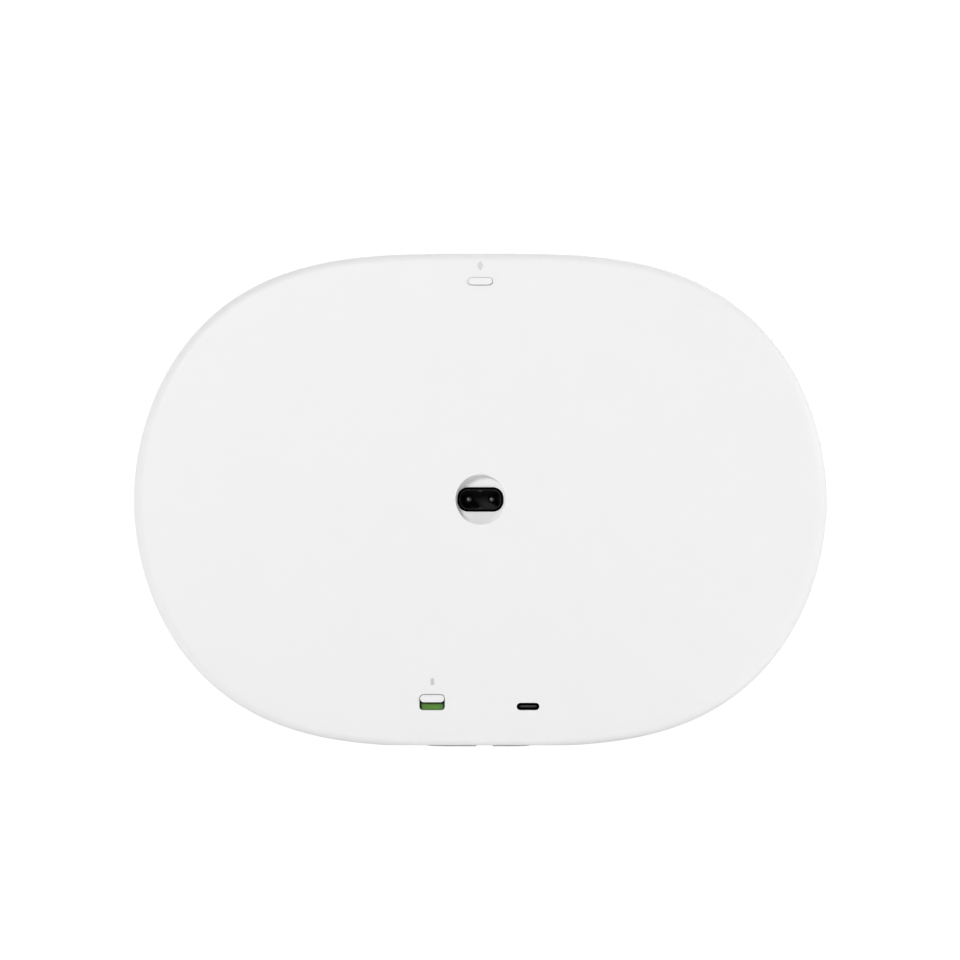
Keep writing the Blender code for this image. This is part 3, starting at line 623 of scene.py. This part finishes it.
def top_lift(uv, back=0.0):
    uv = np.atleast_2d(uv)
    return np.stack([uv[:, 0], uv[:, 1], top_height(rear_m(uv[:, 1]), uv[:, 0]) - back], 1)


def strip_loop(w, h):
    return rr(w, h, h / 2, 16, 30) + [PX, PY]


# the opening's round edge, its wall and the two sheets round it
STRIP = (78.6, 18.6)
EDGE = 0.35
sheet = shell.points()
loops_out = [strip_loop(STRIP[0] + 2 * (EDGE + 0.2), STRIP[1] + 2 * (EDGE + 0.2))]
rings = [top_lift(loops_out[0])]
for inset, drop in arc_steps(EDGE, 5):
    loop = strip_loop(STRIP[0] + 2 * inset, STRIP[1] + 2 * inset)
    rings.append(top_lift(loop, drop))
wall_uv = strip_loop(*STRIP)
inner_z = top_lift(wall_uv, REAR_WALL * 1.03)
rings.append(inner_z)
ids = shell.run(rings)
frame_ids = window_loop(outer)
frame_uv = sheet[frame_ids][:, :2]
extra = clear_of(hexagons(-52, 52, 24, 62, 4.0), [frame_uv, loops_out[0]], 2.2)
extra = extra[inside(extra, frame_uv) & ~inside(extra, loops_out[0])]
shell.fill([(frame_ids, frame_uv), (ids[0], loops_out[0])], extra, top_lift)
frame_ids = window_loop(inner)
frame_uv = sheet[frame_ids][:, :2]
extra = clear_of(hexagons(-52, 52, 24, 62, 5.0), [frame_uv, wall_uv], 2.5)
extra = extra[inside(extra, frame_uv) & ~inside(extra, wall_uv)]
shell.fill([(frame_ids, frame_uv), (ids[-1], wall_uv)], extra, lambda uv: top_lift(uv, REAR_WALL * 1.03))


# rear face: each hole is (outline maker, centre, edge radius)
def hole_rings(make, cx, cz, edge, steps=5):
    """Support ring, then the round edge down to the wall, on the rear face."""
    base = rear_uv(make(edge + 0.15), cx, cz)
    rings = [rear_lift(base)]
    for inset, drop in arc_steps(edge, steps):
        rings.append(rear_lift(rear_uv(make(inset), cx, cz), drop))
    return base, rings


def grown(w, h, r, corner=14, side=8):
    return lambda d: rr(w + 2 * d, h + 2 * d, r + d, corner, side)


HOLES = {
    "recess": (lambda d: ring_xy(RECESS_R + d, 96), 0.0, RECESS_Z, 0.3),
    "button": (grown(9.3, 2.9, 1.45), BX, BZ, 0.1),
    "mute": (lambda d: rr(SLOT_W + 2 * d, SLOT_H + 2 * d, 1.57 + d, 14, 8, 1.3 + d), KX, MZ, 0.12),
    "usb": (grown(8.5, 2.77, 1.385), UX, UZ, 0.12),
}
outer_loops, inner_loops, guards = [], [], []
for key, (make, cx, cz, edge) in HOLES.items():
    base, rings = hole_rings(make, cx, cz, edge)
    wall = rear_uv(make(0.0), cx, cz)
    if key == "recess":
        for f, a in ((0.25, 0.0), (0.07, 0.04), (0.0, 0.25)):
            loop = rear_uv(make(-a), cx, cz)
            rings.append(np.stack([loop[:, 0], np.full(len(loop), FLOOR_Y + f), loop[:, 1]], 1))
        ids = shell.run(rings)
        floor_uv = rear_uv(make(-0.25), cx, cz)
        socket_uv = rear_uv(rr(17.3, 9.2, 4.0, 14, 16), 0.0, RECESS_Z)
        front_ids = shell.add(np.stack([socket_uv[:, 0], np.full(len(socket_uv), FLOOR_Y), socket_uv[:, 1]], 1))
        back_ids = shell.add(np.stack([socket_uv[:, 0], np.full(len(socket_uv), CUP_BACK), socket_uv[:, 1]], 1))
        shell.band(front_ids, back_ids)
        spare = clear_of(hexagons(-9, 9, RECESS_Z - 9, RECESS_Z + 9, 1.2), [floor_uv, socket_uv], 0.7)
        spare = spare[inside(spare, floor_uv) & ~inside(spare, socket_uv)]
        shell.fill(
            [(ids[-1], floor_uv), (front_ids, socket_uv)],
            spare,
            lambda uv: np.stack([uv[:, 0], np.full(len(uv), FLOOR_Y), uv[:, 1]], 1),
        )
        cup_uv = rear_uv(ring_xy(RECESS_R + 2.0, 96), cx, cz)
        cup_back = shell.add(np.stack([cup_uv[:, 0], np.full(96, CUP_BACK), cup_uv[:, 1]], 1))
        cup_front = shell.add(rear_lift(cup_uv, REAR_WALL))
        shell.band(cup_back, cup_front)
        shell.fill([(cup_back, cup_uv), (back_ids, socket_uv)], [], None)
        inner_loops.append((cup_front, cup_uv))
    else:
        rings.append(rear_lift(wall, REAR_WALL))
        ids = shell.run(rings)
        inner_loops.append((ids[-1], wall))
    outer_loops.append((ids[0], base))
    for d in (0.9, 2.0, 3.6):
        guards.append(rear_uv(make(edge + d), cx, cz)[::2])

face_ids = outer[-1]
face_uv = shell.points()[face_ids][:, [0, 2]]
holes_uv = [uv for _, uv in outer_loops]
extra = clear_of(hexagons(-126, 126, 0, 186, 5.0), [face_uv, *holes_uv, *guards], 2.4)
extra = np.concatenate([extra, *guards])
keep = inside(extra, face_uv)
for uv in holes_uv:
    keep &= ~inside(extra, uv)
extra = clear_of(extra[keep], [face_uv], 1.2)
shell.fill([(face_ids, face_uv), *outer_loops], extra, rear_lift)
back_ids = inner[-1]
back_uv = shell.points()[back_ids][:, [0, 2]]
extra = clear_of(hexagons(-126, 126, 0, 186, 8.0), [back_uv, *[uv for _, uv in inner_loops]], 4.0)
extra = extra[inside(extra, back_uv)]
for _, uv in inner_loops:
    extra = extra[~inside(extra, uv)]
shell.fill([(back_ids, back_uv), *inner_loops], extra, lambda uv: rear_lift(uv, REAR_WALL))
for block in shell.v:
    block[:, 2] = np.maximum(block[:, 2], FLAT_Z)
    block[:, 1] = np.minimum(block[:, 1], cad_box[1][1] / MM - 0.004)
rear_look = shell.done("rear_shell_body", M["shell_white"], "cabinet", ["rear_shell"], sharp=50)

# ---- rear controls and ports ----
def flat(uv, y):
    uv = np.atleast_2d(uv)
    return np.stack([uv[:, 0], np.full(len(uv), float(y)), uv[:, 1]], 1)


def capped(loops, cx, cz, back_pole=True, front_pole=True):
    """Rings through (loop, y) pairs about cx, cz, closed by a point at each end."""
    rings = [flat(loop + [cx, cz], y) for loop, y in loops]
    if back_pole:
        rings.insert(0, np.array([[cx, loops[0][1], cz]]))
    if front_pole:
        rings.append(np.array([[cx, loops[-1][1] + 0.01, cz]]))
    return rings


def eased(w, h, r, y, edge, corner=14, side=8, steps=6):
    """Loops of a rounded front edge that ends at depth y."""
    return [
        (rr(w - 2 * (edge - inset), h - 2 * (edge - inset), r - (edge - inset), corner, side), y - drop)
        for inset, drop in reversed([(a, b) for a, b in arc_steps(edge, steps)])
    ]


def button_like(name, mat, body, node, cx, cz, size, flange, y0, y1, y2, edge, dish=0.0):
    w, h = size
    loops = [(rr(*flange, flange[1] / 2, 14, 8), y0), (rr(*flange, flange[1] / 2, 14, 8), y1)]
    if flange != size:
        loops += [(rr(w, h, h / 2, 14, 8), y1)]
    for inset, drop in reversed(arc_steps(edge, 7)):
        d = edge - inset
        loops.append((rr(w - 2 * d, h - 2 * d, h / 2 - d, 14, 8), y2 - drop))
    for more, down in ((0.1, 0.0), (0.25, 0.35), (0.4, 0.8), (0.5, 1.0)):
        d = edge + more
        loops.append((rr(w - 2 * d, h - 2 * d, h / 2 - d, 14, 8), y2 - dish * down))
    rings = [flat(loop + [cx, cz], y) for loop, y in loops]
    made = Shape()
    made.run([np.array([[cx, y0, cz]]), *rings, np.array([[cx, y2 - dish, cz]])])
    return made.done(name, mat, body, [node], sharp=60)


button_like("pairing_button_cap", M["button_white"], "pairing_button", "pairing_button", BX + 0.07, BZ + 0.07, (9.0, 2.6), (11.2, 4.6), 75.3, 76.2, 79.14, 0.4, 0.04)
button_like("mute_slider_cap", M["button_white"], "mute_slider", "mute_slider_knob", KX, KZ, (9.0, 2.75), (9.0, 2.75), 76.62, 76.7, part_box("mute_slider_knob")[1][1] / MM - 0.01, 0.4, 0.18)
made = Shape()
plate = rr(10.6, 1.8, 0.3, 5, 6) + [KX, KZ + 0.8]
small = rr(10.5, 1.7, 0.25, 5, 6) + [KX, KZ + 0.8]
made.run([np.array([[KX, 76.1, KZ + 0.8]]), flat(small, 76.1), flat(plate, 76.15), flat(plate, 76.55), flat(small, 76.6), np.array([[KX, 76.6, KZ + 0.8]])])
made.done("mute_slider_skirt", M["skirt_white"], "mute_slider", ["mute_slider_knob"], sharp=40)
made = Shape()
rings = [np.array([[KX, 69.0, KZ]])]
for d, y in ((0.15, 69.0), (0.0, 69.15), (0.0, 76.6)):
    rings.append(flat(rr(3.0 - 2 * d, 1.3 - 2 * d, 0.2, 4, 3) + [KX, KZ], y))
made.run([*rings, np.array([[KX, 76.6, KZ]])])
made.done("mute_slider_stem", M["button_white"], "mute_slider", ["mute_slider_knob"], sharp=40)

# mains inlet: rim, a fine lip, then the two-lobed cavity with a land at its top and bottom
IX, IZ = 0.0, RECESS_Z


def lobes(w, h, r, land):
    loop = rr(w, h, r, 14, 24)
    x, z = loop[:, 0], loop[:, 1]
    dip = land * np.clip(1.6 - np.abs(x) * 1.3, 0, 1) * (np.abs(z) > h / 2 - 0.05)
    return np.stack([x, z - np.sign(z) * dip], 1)


made = Shape()
outer_front = [(17.1, 9.0, 3.9, 57.0), (17.1, 9.0, 3.9, 74.75)]
rings = [flat(rr(w, h, r, 14, 24) + [IX, IZ], y) for w, h, r, y in outer_front]
for inset, drop in reversed(arc_steps(0.25, 4)):
    d = 0.25 - inset
    rings.append(flat(rr(17.1 - 2 * d, 9.0 - 2 * d, 3.9 - d, 14, 24) + [IX, IZ], 75.0 - drop))
for d, y in ((0.72, 75.0), (0.78, 74.98), (0.80, 74.72), (0.84, 74.68), (0.98, 74.68), (1.02, 74.64), (1.04, 74.4)):
    rings.append(flat(rr(17.1 - 2 * d, 9.0 - 2 * d, 3.9 - d, 14, 24) + [IX, IZ], y))
rings.append(flat(lobes(15.0, 6.9, 2.85, 0.0) + [IX, IZ], 74.2))
rings.append(flat(lobes(15.0, 6.9, 2.85, 0.55) + [IX, IZ], 73.9))
rings.append(flat(lobes(14.9, 6.8, 2.8, 0.55) + [IX, IZ], 62.3))
floor_loop = lobes(14.4, 6.3, 2.6, 0.5) + [IX, IZ]
rings.append(flat(floor_loop, 62.0))
ids = made.run(rings)
pin_loops = [ring_xy(1.45, 32) + [IX + side * 4.3, IZ] for side in (1, -1)]
front_pin = [made.add(flat(loop, 62.0)) for loop in pin_loops]
back_pin = [made.add(flat(loop, 57.0)) for loop in pin_loops]
for a, b in zip(front_pin, back_pin):
    made.band(a, b)
spare = hexagons(-7, 7, IZ - 3.2, IZ + 3.2, 0.8)
spare = clear_of(spare, [floor_loop, *pin_loops], 0.4)
spare = spare[inside(spare, floor_loop) & ~inside(spare, pin_loops[0]) & ~inside(spare, pin_loops[1])]
made.fill([(ids[-1], floor_loop), *zip(front_pin, pin_loops)], spare, lambda uv: flat(uv, 62.0))
made.fill([(ids[0], rr(17.1, 9.0, 3.9, 14, 24) + [IX, IZ]), *zip(back_pin, pin_loops)], [], None)
made.done("inlet_socket_body", M["inlet_black"], "cabinet", ["inlet_socket"], sharp=40)

for side, name in ((1, "left"), (-1, "right")):
    made = Shape()
    cx = IX + side * 4.3
    rings = [np.array([[cx, 50.5, IZ]])]
    for r, y in ((1.0, 50.5), (1.2, 50.7), (1.2, 62.5), (1.2, 66.0), (1.2, 71.5)):
        rings.append(flat(ring_xy(r, 48) + [cx, IZ], y))
    for a in np.linspace(0.12, math.pi / 2 - 0.08, 10):
        rings.append(flat(ring_xy(1.2 * math.cos(a), 48) + [cx, IZ], 71.5 + 0.9 * math.sin(a)))
    rings.append(np.array([[cx, 72.4, IZ]]))
    made.run(rings)
    made.done(f"inlet_pin_{name}_body", M["pin_steel"], "cabinet", [f"inlet_pin_{name}"], sharp=50)

# USB-C receptacle and its tongue
made = Shape()
w, h = 8.5, 2.77
loops = [(rr(w + 1.2, h + 1.2, h / 2 + 0.6, 14, 8), 66.2), (rr(w + 1.2, h + 1.2, h / 2 + 0.6, 14, 8), 76.3)]
loops += [(rr(w + 0.1, h + 0.1, h / 2 + 0.05, 14, 8), 76.3), (rr(w - 0.1, h - 0.1, h / 2 - 0.05, 14, 8), 76.2)]
loops += [(rr(w - 0.2, h - 0.2, h / 2 - 0.1, 14, 8), 75.9), (rr(w - 0.2, h - 0.2, h / 2 - 0.1, 14, 8), 68.2)]
loops += [(rr(w - 0.6, h - 0.6, h / 2 - 0.3, 14, 8), 68.0)]
made.run(capped(loops, UX, UZ)[:-1] + [np.array([[UX, 68.0, UZ]])])
made.done("usb_c_shell_body", M["port_black"], "cabinet", ["usb_c_shell"], sharp=40)
made = Shape()
loops = [(rr(6.7, 0.9, 0.35, 6, 12), 68.3), (rr(6.7, 0.9, 0.35, 6, 12), 73.2), (rr(6.6, 0.8, 0.35, 6, 12), 73.6)]
loops += [(rr(6.6, 0.8, 0.35, 6, 12), 75.9), (rr(6.5, 0.7, 0.3, 6, 12), 76.0), (rr(6.2, 0.4, 0.15, 6, 12), 76.05)]
made.run(capped(loops, UX, UZ))
made.done("usb_c_tongue_body", M["tongue_grey"], "cabinet", ["usb_c_tongue"], sharp=40)

# printed marks: a plain lozenge and a plain capsule
PZ = centre("pairing_mark")[2]
turn = np.arange(48) * math.pi / 24
lozenge = np.stack([np.sign(np.cos(turn)) * np.abs(np.cos(turn)) ** 1.55, np.sign(np.sin(turn)) * np.abs(np.sin(turn)) ** 1.55], 1)
made = Shape()
rings = [rear_lift(lozenge * [w, h] + [0.0, PZ], -lift) for w, h, lift in ((1.1, 1.75, 0.02), (1.1, 1.75, 0.06), (1.06, 1.7, 0.075))]
ids = made.run(rings)
made.fan(ids[0], made.add(rear_lift([[0.0, PZ]], -0.02))[0])
made.fan(ids[-1], made.add(rear_lift([[0.0, PZ]], -0.075))[0])
made.done("pairing_mark_print", M["mark_light"], "cabinet", ["pairing_mark"], sharp=40)
QX, _, QZ = centre("mic_mark")
made = Shape()
rings = [rear_lift(rr(1.35, 2.7, 0.675, 10, 8) + [QX, QZ], -lift) for lift in (0.02, 0.06)]
rings.append(rear_lift(rr(1.29, 2.64, 0.645, 10, 8) + [QX, QZ], -0.075))
ids = made.run(rings)
made.fan(ids[0], made.add(rear_lift([[QX, QZ]], -0.02))[0])
made.fan(ids[-1], made.add(rear_lift([[QX, QZ]], -0.075))[0])
made.done("mic_mark_print", M["mark_grey"], "cabinet", ["mic_mark"], sharp=40)

# ---- waist ring, pedestal and foot ----
made = Shape()
rings = []
for off, y in ((5.0, 3.9), (1.4, 3.9), (1.1, 4.1), (1.0, 4.6), (1.0, 5.4), (1.1, 5.9), (1.4, 6.1), (5.0, 6.1)):
    rings.append(section(WAIST_M, y, off))
made.run(rings, loop=True)
made.done("waist_ring", M["rubber_black"], "cabinet", ["waist_gasket"], sharp=50)


def belly(uv):
    """Height of the body's underside, cleared by 0.3, above x, y."""
    x, y = uv[:, 0], uv[:, 1]
    m = np.where(y > 5, rear_m(y), front_m(y))
    k = m / HALF_W
    return MID_Z - 0.35 - k * HALF_H * np.maximum(1 - np.abs(x / (k * HALF_W)) ** POW_X, 0) ** (1 / POW_Z)


_, FY, _ = centre("foot_pad")
made = Shape()
plan = rr(70.0, 104.0, 30.0, 24, 20) + [0.0, FY]
bottom = np.column_stack([plan * 0.995 + [0, FY * 0.005], np.full(len(plan), 1.9)])
low = np.column_stack([plan, np.full(len(plan), 2.2)])
high = np.column_stack([plan, np.maximum(belly(plan), 2.4)])
ids = made.run([bottom, low, high])
made.fan(ids[0], made.add([[0, FY, 1.9]])[0])
spare = hexagons(-35, 35, FY - 52, FY + 52, 4.0)
spare = clear_of(spare[inside(spare, plan)], [plan], 2.5)
made.fill([(ids[-1], plan)], spare, lambda uv: np.column_stack([uv, belly(uv)]))
made.done("pedestal", M["foot_grey"], "cabinet", ["base_plinth"], sharp=40)
# two treads either side of a groove, and the web above it
GROOVE = (-4.4, 1.4)
for side, name, inner, outer_x, round_r, lift, look in (
    (1, "left_pad", GROOVE[1], 20.5, 9.0, 0.0, "tread_grey"),
    (-1, "right_pad", GROOVE[0], 19.0, 9.0, 0.0, "tread_grey"),
    (1, "left_wing", 20.7, 37.0, 15.0, 0.95, "foot_grey"),
    (-1, "right_wing", -19.2, 37.0, 15.0, 0.95, "foot_grey"),
):
    wide = outer_x - side * inner
    rings = []
    for inset, z in ((0.9, 0.0), (0.45, 0.08), (0.12, 0.28), (0.0, 0.55), (0.0, 1.2), (0.12, 1.42), (0.4, 1.5)):
        half = rr(112.0 - 2 * inset, wide - inset - min(inset, 0.3), round_r - inset, 24, 20, 0.6)
        across = inner + side * (min(inset, 0.3) + (wide - inset - min(inset, 0.3)) / 2 + half[:, 1])
        rings.append(np.column_stack([across, FY + half[:, 0], np.full(len(half), lift + z * (1 - lift / 1.5))]))
    middle = inner + side * wide / 2
    made = Shape()
    made.run([np.array([[middle, FY, lift]]), *rings, np.array([[middle, FY, 1.5]])])
    made.done(f"foot_{name}", M[look], "cabinet", ["foot_pad"], sharp=50)
web = rr(GROOVE[1] - GROOVE[0] + 0.6, 110.0, 0.3, 4, 12) + [sum(GROOVE) / 2, FY]
small = rr(GROOVE[1] - GROOVE[0] + 0.4, 109.8, 0.25, 4, 12) + [sum(GROOVE) / 2, FY]
made = Shape()
rings = [np.column_stack([plan, np.full(len(plan), z)]) for plan, z in ((small, 1.02), (web, 1.08), (web, 1.36), (small, 1.42))]
made.run([np.array([[sum(GROOVE) / 2, FY, 1.02]]), *rings, np.array([[sum(GROOVE) / 2, FY, 1.42]])])
made.done("foot_web", M["foot_grey"], "cabinet", ["foot_pad"], sharp=40)

# ---- top control strip with its shallow trough ----
def strip_lift(uv):
    uv = np.atleast_2d(uv)
    x, y = uv[:, 0] - PX, uv[:, 1] - PY
    reach = np.sqrt(np.maximum(np.abs(x) - 20.0, 0) ** 2 + y**2)
    t = np.clip(1 - reach / 5.2, 0, 1)
    trough = 1.15 * t * t * (3 - 2 * t)
    return np.stack([uv[:, 0], uv[:, 1], top_height(rear_m(uv[:, 1]), uv[:, 0]) - 0.2 - trough], 1)


def strip_under(uv):
    uv = np.atleast_2d(uv)
    return np.stack([uv[:, 0], uv[:, 1], top_height(rear_m(uv[:, 1]), uv[:, 0]) - 2.2], 1)


made = Shape()
rings = []
for inset, drop in arc_steps(0.3, 5):
    rings.append(strip_lift(strip_loop(78.0 - 2 * 0.3 + 2 * (0.3 - inset), 18.0 - 2 * 0.3 + 2 * (0.3 - inset))) - [0, 0, drop])
rim = strip_loop(78.0, 18.0)
rings.append(strip_under(rim))
face_loop = strip_loop(78.0 - 0.6, 18.0 - 0.6)
ids = made.run(rings)
LX, LY, _ = centre("status_light")
dot = ring_xy(1.1, 24) + [LX, LY]
spare = hexagons(-39, 39, PY - 9, PY + 9, 0.9)
spare = clear_of(spare[inside(spare, face_loop) & ~inside(spare, dot)], [face_loop, dot], 0.5)
dot_up, dot_down = made.add(strip_lift(dot)), made.add(strip_under(dot))
made.band(dot_up, dot_down)
made.fill([(ids[0], face_loop), (dot_up, dot)], spare, strip_lift)
spare = hexagons(-39, 39, PY - 9, PY + 9, 3.0)
spare = clear_of(spare[inside(spare, rim) & ~inside(spare, dot)], [rim, dot], 1.5)
made.fill([(ids[-1], rim), (dot_down, dot)], spare, strip_under)
made.done("control_strip", M["button_white"], "cabinet", ["touch_panel"], sharp=50)

# ---- perforated front grille: the flat field and, joined edge to edge, the rim and flared sides ----
PITCH, HOLE_R = 3.4, 0.9
FIELD_M = 110.0


def front_y(m):
    return FRONT_Y + 6.0 * (np.asarray(m) / 112.0) ** 2


def floored(pts):
    pts[:, 2] = np.maximum(pts[:, 2], FLAT_Z)
    return pts


def front_lift(back):
    def lift(uv):
        m = HALF_W * scale_at(uv[:, 0], uv[:, 1] - MID_Z, FRONT_W, FRONT_H)
        return np.stack([uv[:, 0], front_y(m) + back, uv[:, 1]], 1)

    return lift


ring_at = section(FIELD_M, float(front_y(FIELD_M)), front=True)
field_uv = ring_at[:, [0, 2]]
made = Shape()
out_ids = made.add(ring_at, field_uv, 0)
in_ids = made.add(ring_at + [0, GRILLE_WALL, 0], field_uv, 1)
made.band(out_ids, in_ids)
perforate(made, (out_ids, in_ids), field_uv, PITCH, HOLE_R, (front_lift(0.0), front_lift(GRILLE_WALL)), 2.3, lambda uv: uv)
made.done("front_grille_field", M["grille_white"], "cabinet", ["front_grille"], sharp=50, uv=10000.0)

STEP = 1.68  # mm of arc to one outline point, at the flare's middle width


def flare_lift(off):
    index = np.arange(AROUND + 1)
    rim = [np.append(a, a[0]) for a in RIM]

    def lift(uv):
        at = (uv[:, 0] / STEP) % AROUND
        m = front_m(uv[:, 1])
        s = np.maximum(FRONT_Y0 - uv[:, 1], 0.0)
        dm = 20.2 * 1.55 / 59.5 * (s / 59.5) ** 0.55
        x, z, nx, nz = (np.interp(at, index, a) for a in rim)
        k, h = m / HALF_W, x * nx + z * nz
        a = np.stack([-nx, -dm / HALF_W * h, -nz], 1)
        a *= -1.0 / np.linalg.norm(a, axis=1)[:, None]
        base = np.stack([k * x * FRONT_W, uv[:, 1], MID_Z + k * z * FRONT_H], 1)
        return floored(base - off * a)

    return lift


made = Shape()
arc = np.arange(AROUND) * STEP
rows = [3.5, 2.0, -0.5, -6.0, -12.0, -18.0, -24.0, -30.0, -36.0, -42.0, -48.0, -52.0]
low_row, high_row = rows.index(-0.5), rows.index(-52.0)
sheets = []
for sheet, off in ((0, 0.0), (1, GRILLE_WALL)):
    lift = flare_lift(off)
    ids = [made.add(lift(np.column_stack([arc, np.full(AROUND, y)])), np.column_stack([arc, np.full(AROUND, y)]), sheet) for y in rows]
    far = -52.0
    for t in np.linspace(0, 1, 17)[1:]:
        place, way = bezier(FRONT_EDGE, float(t))
        far -= 2.4
        ids.append(made.add(floored(section(*place, off, way, True)), np.column_stack([arc, np.full(AROUND, far)]), sheet))
    last = section(FIELD_M, float(front_y(FIELD_M)), front=True) + [0, off, 0]
    ids.append(made.add(last, np.column_stack([arc, np.full(AROUND, far - 2.4)]), sheet))
    sheets.append(ids)
first, last = AROUND * 3 // 4 + 42 - AROUND, AROUND * 3 // 4 - 42
span = [i % AROUND for i in range(first, last + 1)]
closed_part = set(i % AROUND for i in range(first, last))
for ids in sheets:
    for r, (a, b) in enumerate(zip(ids, ids[1:])):
        for i in range(AROUND):
            if low_row <= r < high_row and i in closed_part:
                continue
            k = (i + 1) % AROUND
            made.f.append((a[i], b[i], b[k], a[k]))
made.band(sheets[0][0], sheets[1][0])
made.band(sheets[0][-1], sheets[1][-1])
loops = []
for ids in sheets:
    loop = [ids[low_row][i] for i in span]
    loop += [ids[r][span[-1]] for r in range(low_row + 1, high_row)]
    loop += [ids[high_row][i] for i in reversed(span)]
    loop += [ids[r][span[0]] for r in range(high_row - 1, low_row, -1)]
    loops.append(loop)
u_run = [i * STEP for i in range(first, last + 1)]
loop_uv = [(u, rows[low_row]) for u in u_run]
loop_uv += [(u_run[-1], rows[r]) for r in range(low_row + 1, high_row)]
loop_uv += [(u, rows[high_row]) for u in reversed(u_run)]
loop_uv += [(u_run[0], rows[r]) for r in range(high_row - 1, low_row, -1)]
perforate(
    made, loops, loop_uv, PITCH, HOLE_R, (flare_lift(0.0), flare_lift(GRILLE_WALL)), 2.6,
    lambda uv: np.column_stack([uv[:, 0] % (AROUND * STEP), uv[:, 1]]),
)
made.done("front_grille_sides", M["grille_white"], "cabinet", ["front_grille"], sharp=50, uv=AROUND * STEP)

# ---- floor, light and camera ----
floor_mesh = bpy.data.meshes.new("floor")
floor_mesh.from_pydata([(-3.2, -3.2, 0), (3.2, -3.2, 0), (3.2, 3.2, 0), (-3.2, 3.2, 0)], [], [(0, 1, 2, 3)])
floor = bpy.data.objects.new("floor", floor_mesh)
bpy.context.scene.collection.objects.link(floor)
pale = bpy.data.materials.new("floor_pale")
pale.use_nodes = True
pn, pl = pale.node_tree.nodes, pale.node_tree.links
pale_shader = pn["Principled BSDF"]
pale_shader.inputs["Base Color"].default_value = (0.6, 0.6, 0.6, 1)
pale_shader.inputs["Roughness"].default_value = 0.9
pale_shader.inputs["Specular IOR Level"].default_value = 0.0
pale_shader.inputs["Emission Color"].default_value = (1, 1, 1, 1)
pale_shader.inputs["Emission Strength"].default_value = 0.3
pale_glow = pn.new("ShaderNodeEmission")
pale_glow.inputs["Color"].default_value = (1, 1, 1, 1)
pale_glow.inputs["Strength"].default_value = 1.05
pale_path = pn.new("ShaderNodeLightPath")
pale_mix = pn.new("ShaderNodeMixShader")
pl.new(pale_path.outputs["Is Camera Ray"], pale_mix.inputs["Fac"])
pl.new(pale_shader.outputs["BSDF"], pale_mix.inputs[1])
pl.new(pale_glow.outputs["Emission"], pale_mix.inputs[2])
pl.new(pale_mix.outputs["Shader"], pn["Material Output"].inputs["Surface"])
floor_mesh.materials.append(pale)

scene = bpy.context.scene
scene.view_settings.view_transform = "Standard"
world = bpy.data.worlds.new("studio")
scene.world = world
world.use_nodes = True
wn, wl = world.node_tree.nodes, world.node_tree.links
wn.clear()
w_out = wn.new("ShaderNodeOutputWorld")
w_mix = wn.new("ShaderNodeMixShader")
w_path = wn.new("ShaderNodeLightPath")
w_room = wn.new("ShaderNodeBackground")
w_room.inputs["Color"].default_value = (1, 1, 1, 1)
w_room.inputs["Strength"].default_value = 0.1
# the sweep behind the object is lit, so the room is brighter on that side
w_place = wn.new("ShaderNodeTexCoord")
w_split = wn.new("ShaderNodeSeparateXYZ")
wl.new(w_place.outputs["Generated"], w_split.inputs["Vector"])
w_side = wn.new("ShaderNodeMapRange")
w_side.interpolation_type = "SMOOTHSTEP"
w_side.inputs["From Min"].default_value = 0.0
w_side.inputs["From Max"].default_value = -0.35
w_side.inputs["To Min"].default_value = 0.1
w_side.inputs["To Max"].default_value = 0.9
wl.new(w_split.outputs["Y"], w_side.inputs["Value"])
wl.new(w_side.outputs["Result"], w_room.inputs["Strength"])
w_seen = wn.new("ShaderNodeBackground")
w_seen.inputs["Color"].default_value = (1, 1, 1, 1)
w_seen.inputs["Strength"].default_value = 1.05
wl.new(w_path.outputs["Is Camera Ray"], w_mix.inputs["Fac"])
wl.new(w_room.outputs["Background"], w_mix.inputs[1])
wl.new(w_seen.outputs["Background"], w_mix.inputs[2])
wl.new(w_mix.outputs["Shader"], w_out.inputs["Surface"])


def soft_box(name, place, aim, size, power):
    lamp = bpy.data.lights.new(name, "AREA")
    lamp.shape = "SQUARE"
    lamp.size = size
    lamp.energy = power
    made = bpy.data.objects.new(name, lamp)
    scene.collection.objects.link(made)
    made.location = place
    made.rotation_mode = "QUATERNION"
    made.rotation_quaternion = (Vector(aim) - Vector(place)).to_track_quat("-Z", "Y")
    return made


soft_box("key", (1.75, 4.6, 1.45), (0, 0, 0.09), 1.0, 116)
soft_box("top", (0.0, 0.4, 2.9), (0, 0, 0.09), 1.6, 9)
soft_box("side_left", (2.9, 0.9, 1.0), (0, 0, 0.09), 1.2, 9)
soft_box("side_right", (-2.9, 0.9, 1.0), (0, 0, 0.09), 1.2, 40)
soft_box("front_key", (-0.9, -2.4, 1.5), (0, 0, 0.09), 1.2, 16)

camera = bpy.data.objects.new("camera", bpy.data.cameras.new("camera"))
scene.collection.objects.link(camera)
camera.data.sensor_width = 36.0
camera.data.lens = 292.3
camera.data.clip_start, camera.data.clip_end = 0.05, 60
camera.location = (0.00015, 3.0, 0.1004)
camera.rotation_mode = "QUATERNION"
camera.rotation_quaternion = Vector((0, -1, 0)).to_track_quat("-Z", "Y")
scene.camera = camera
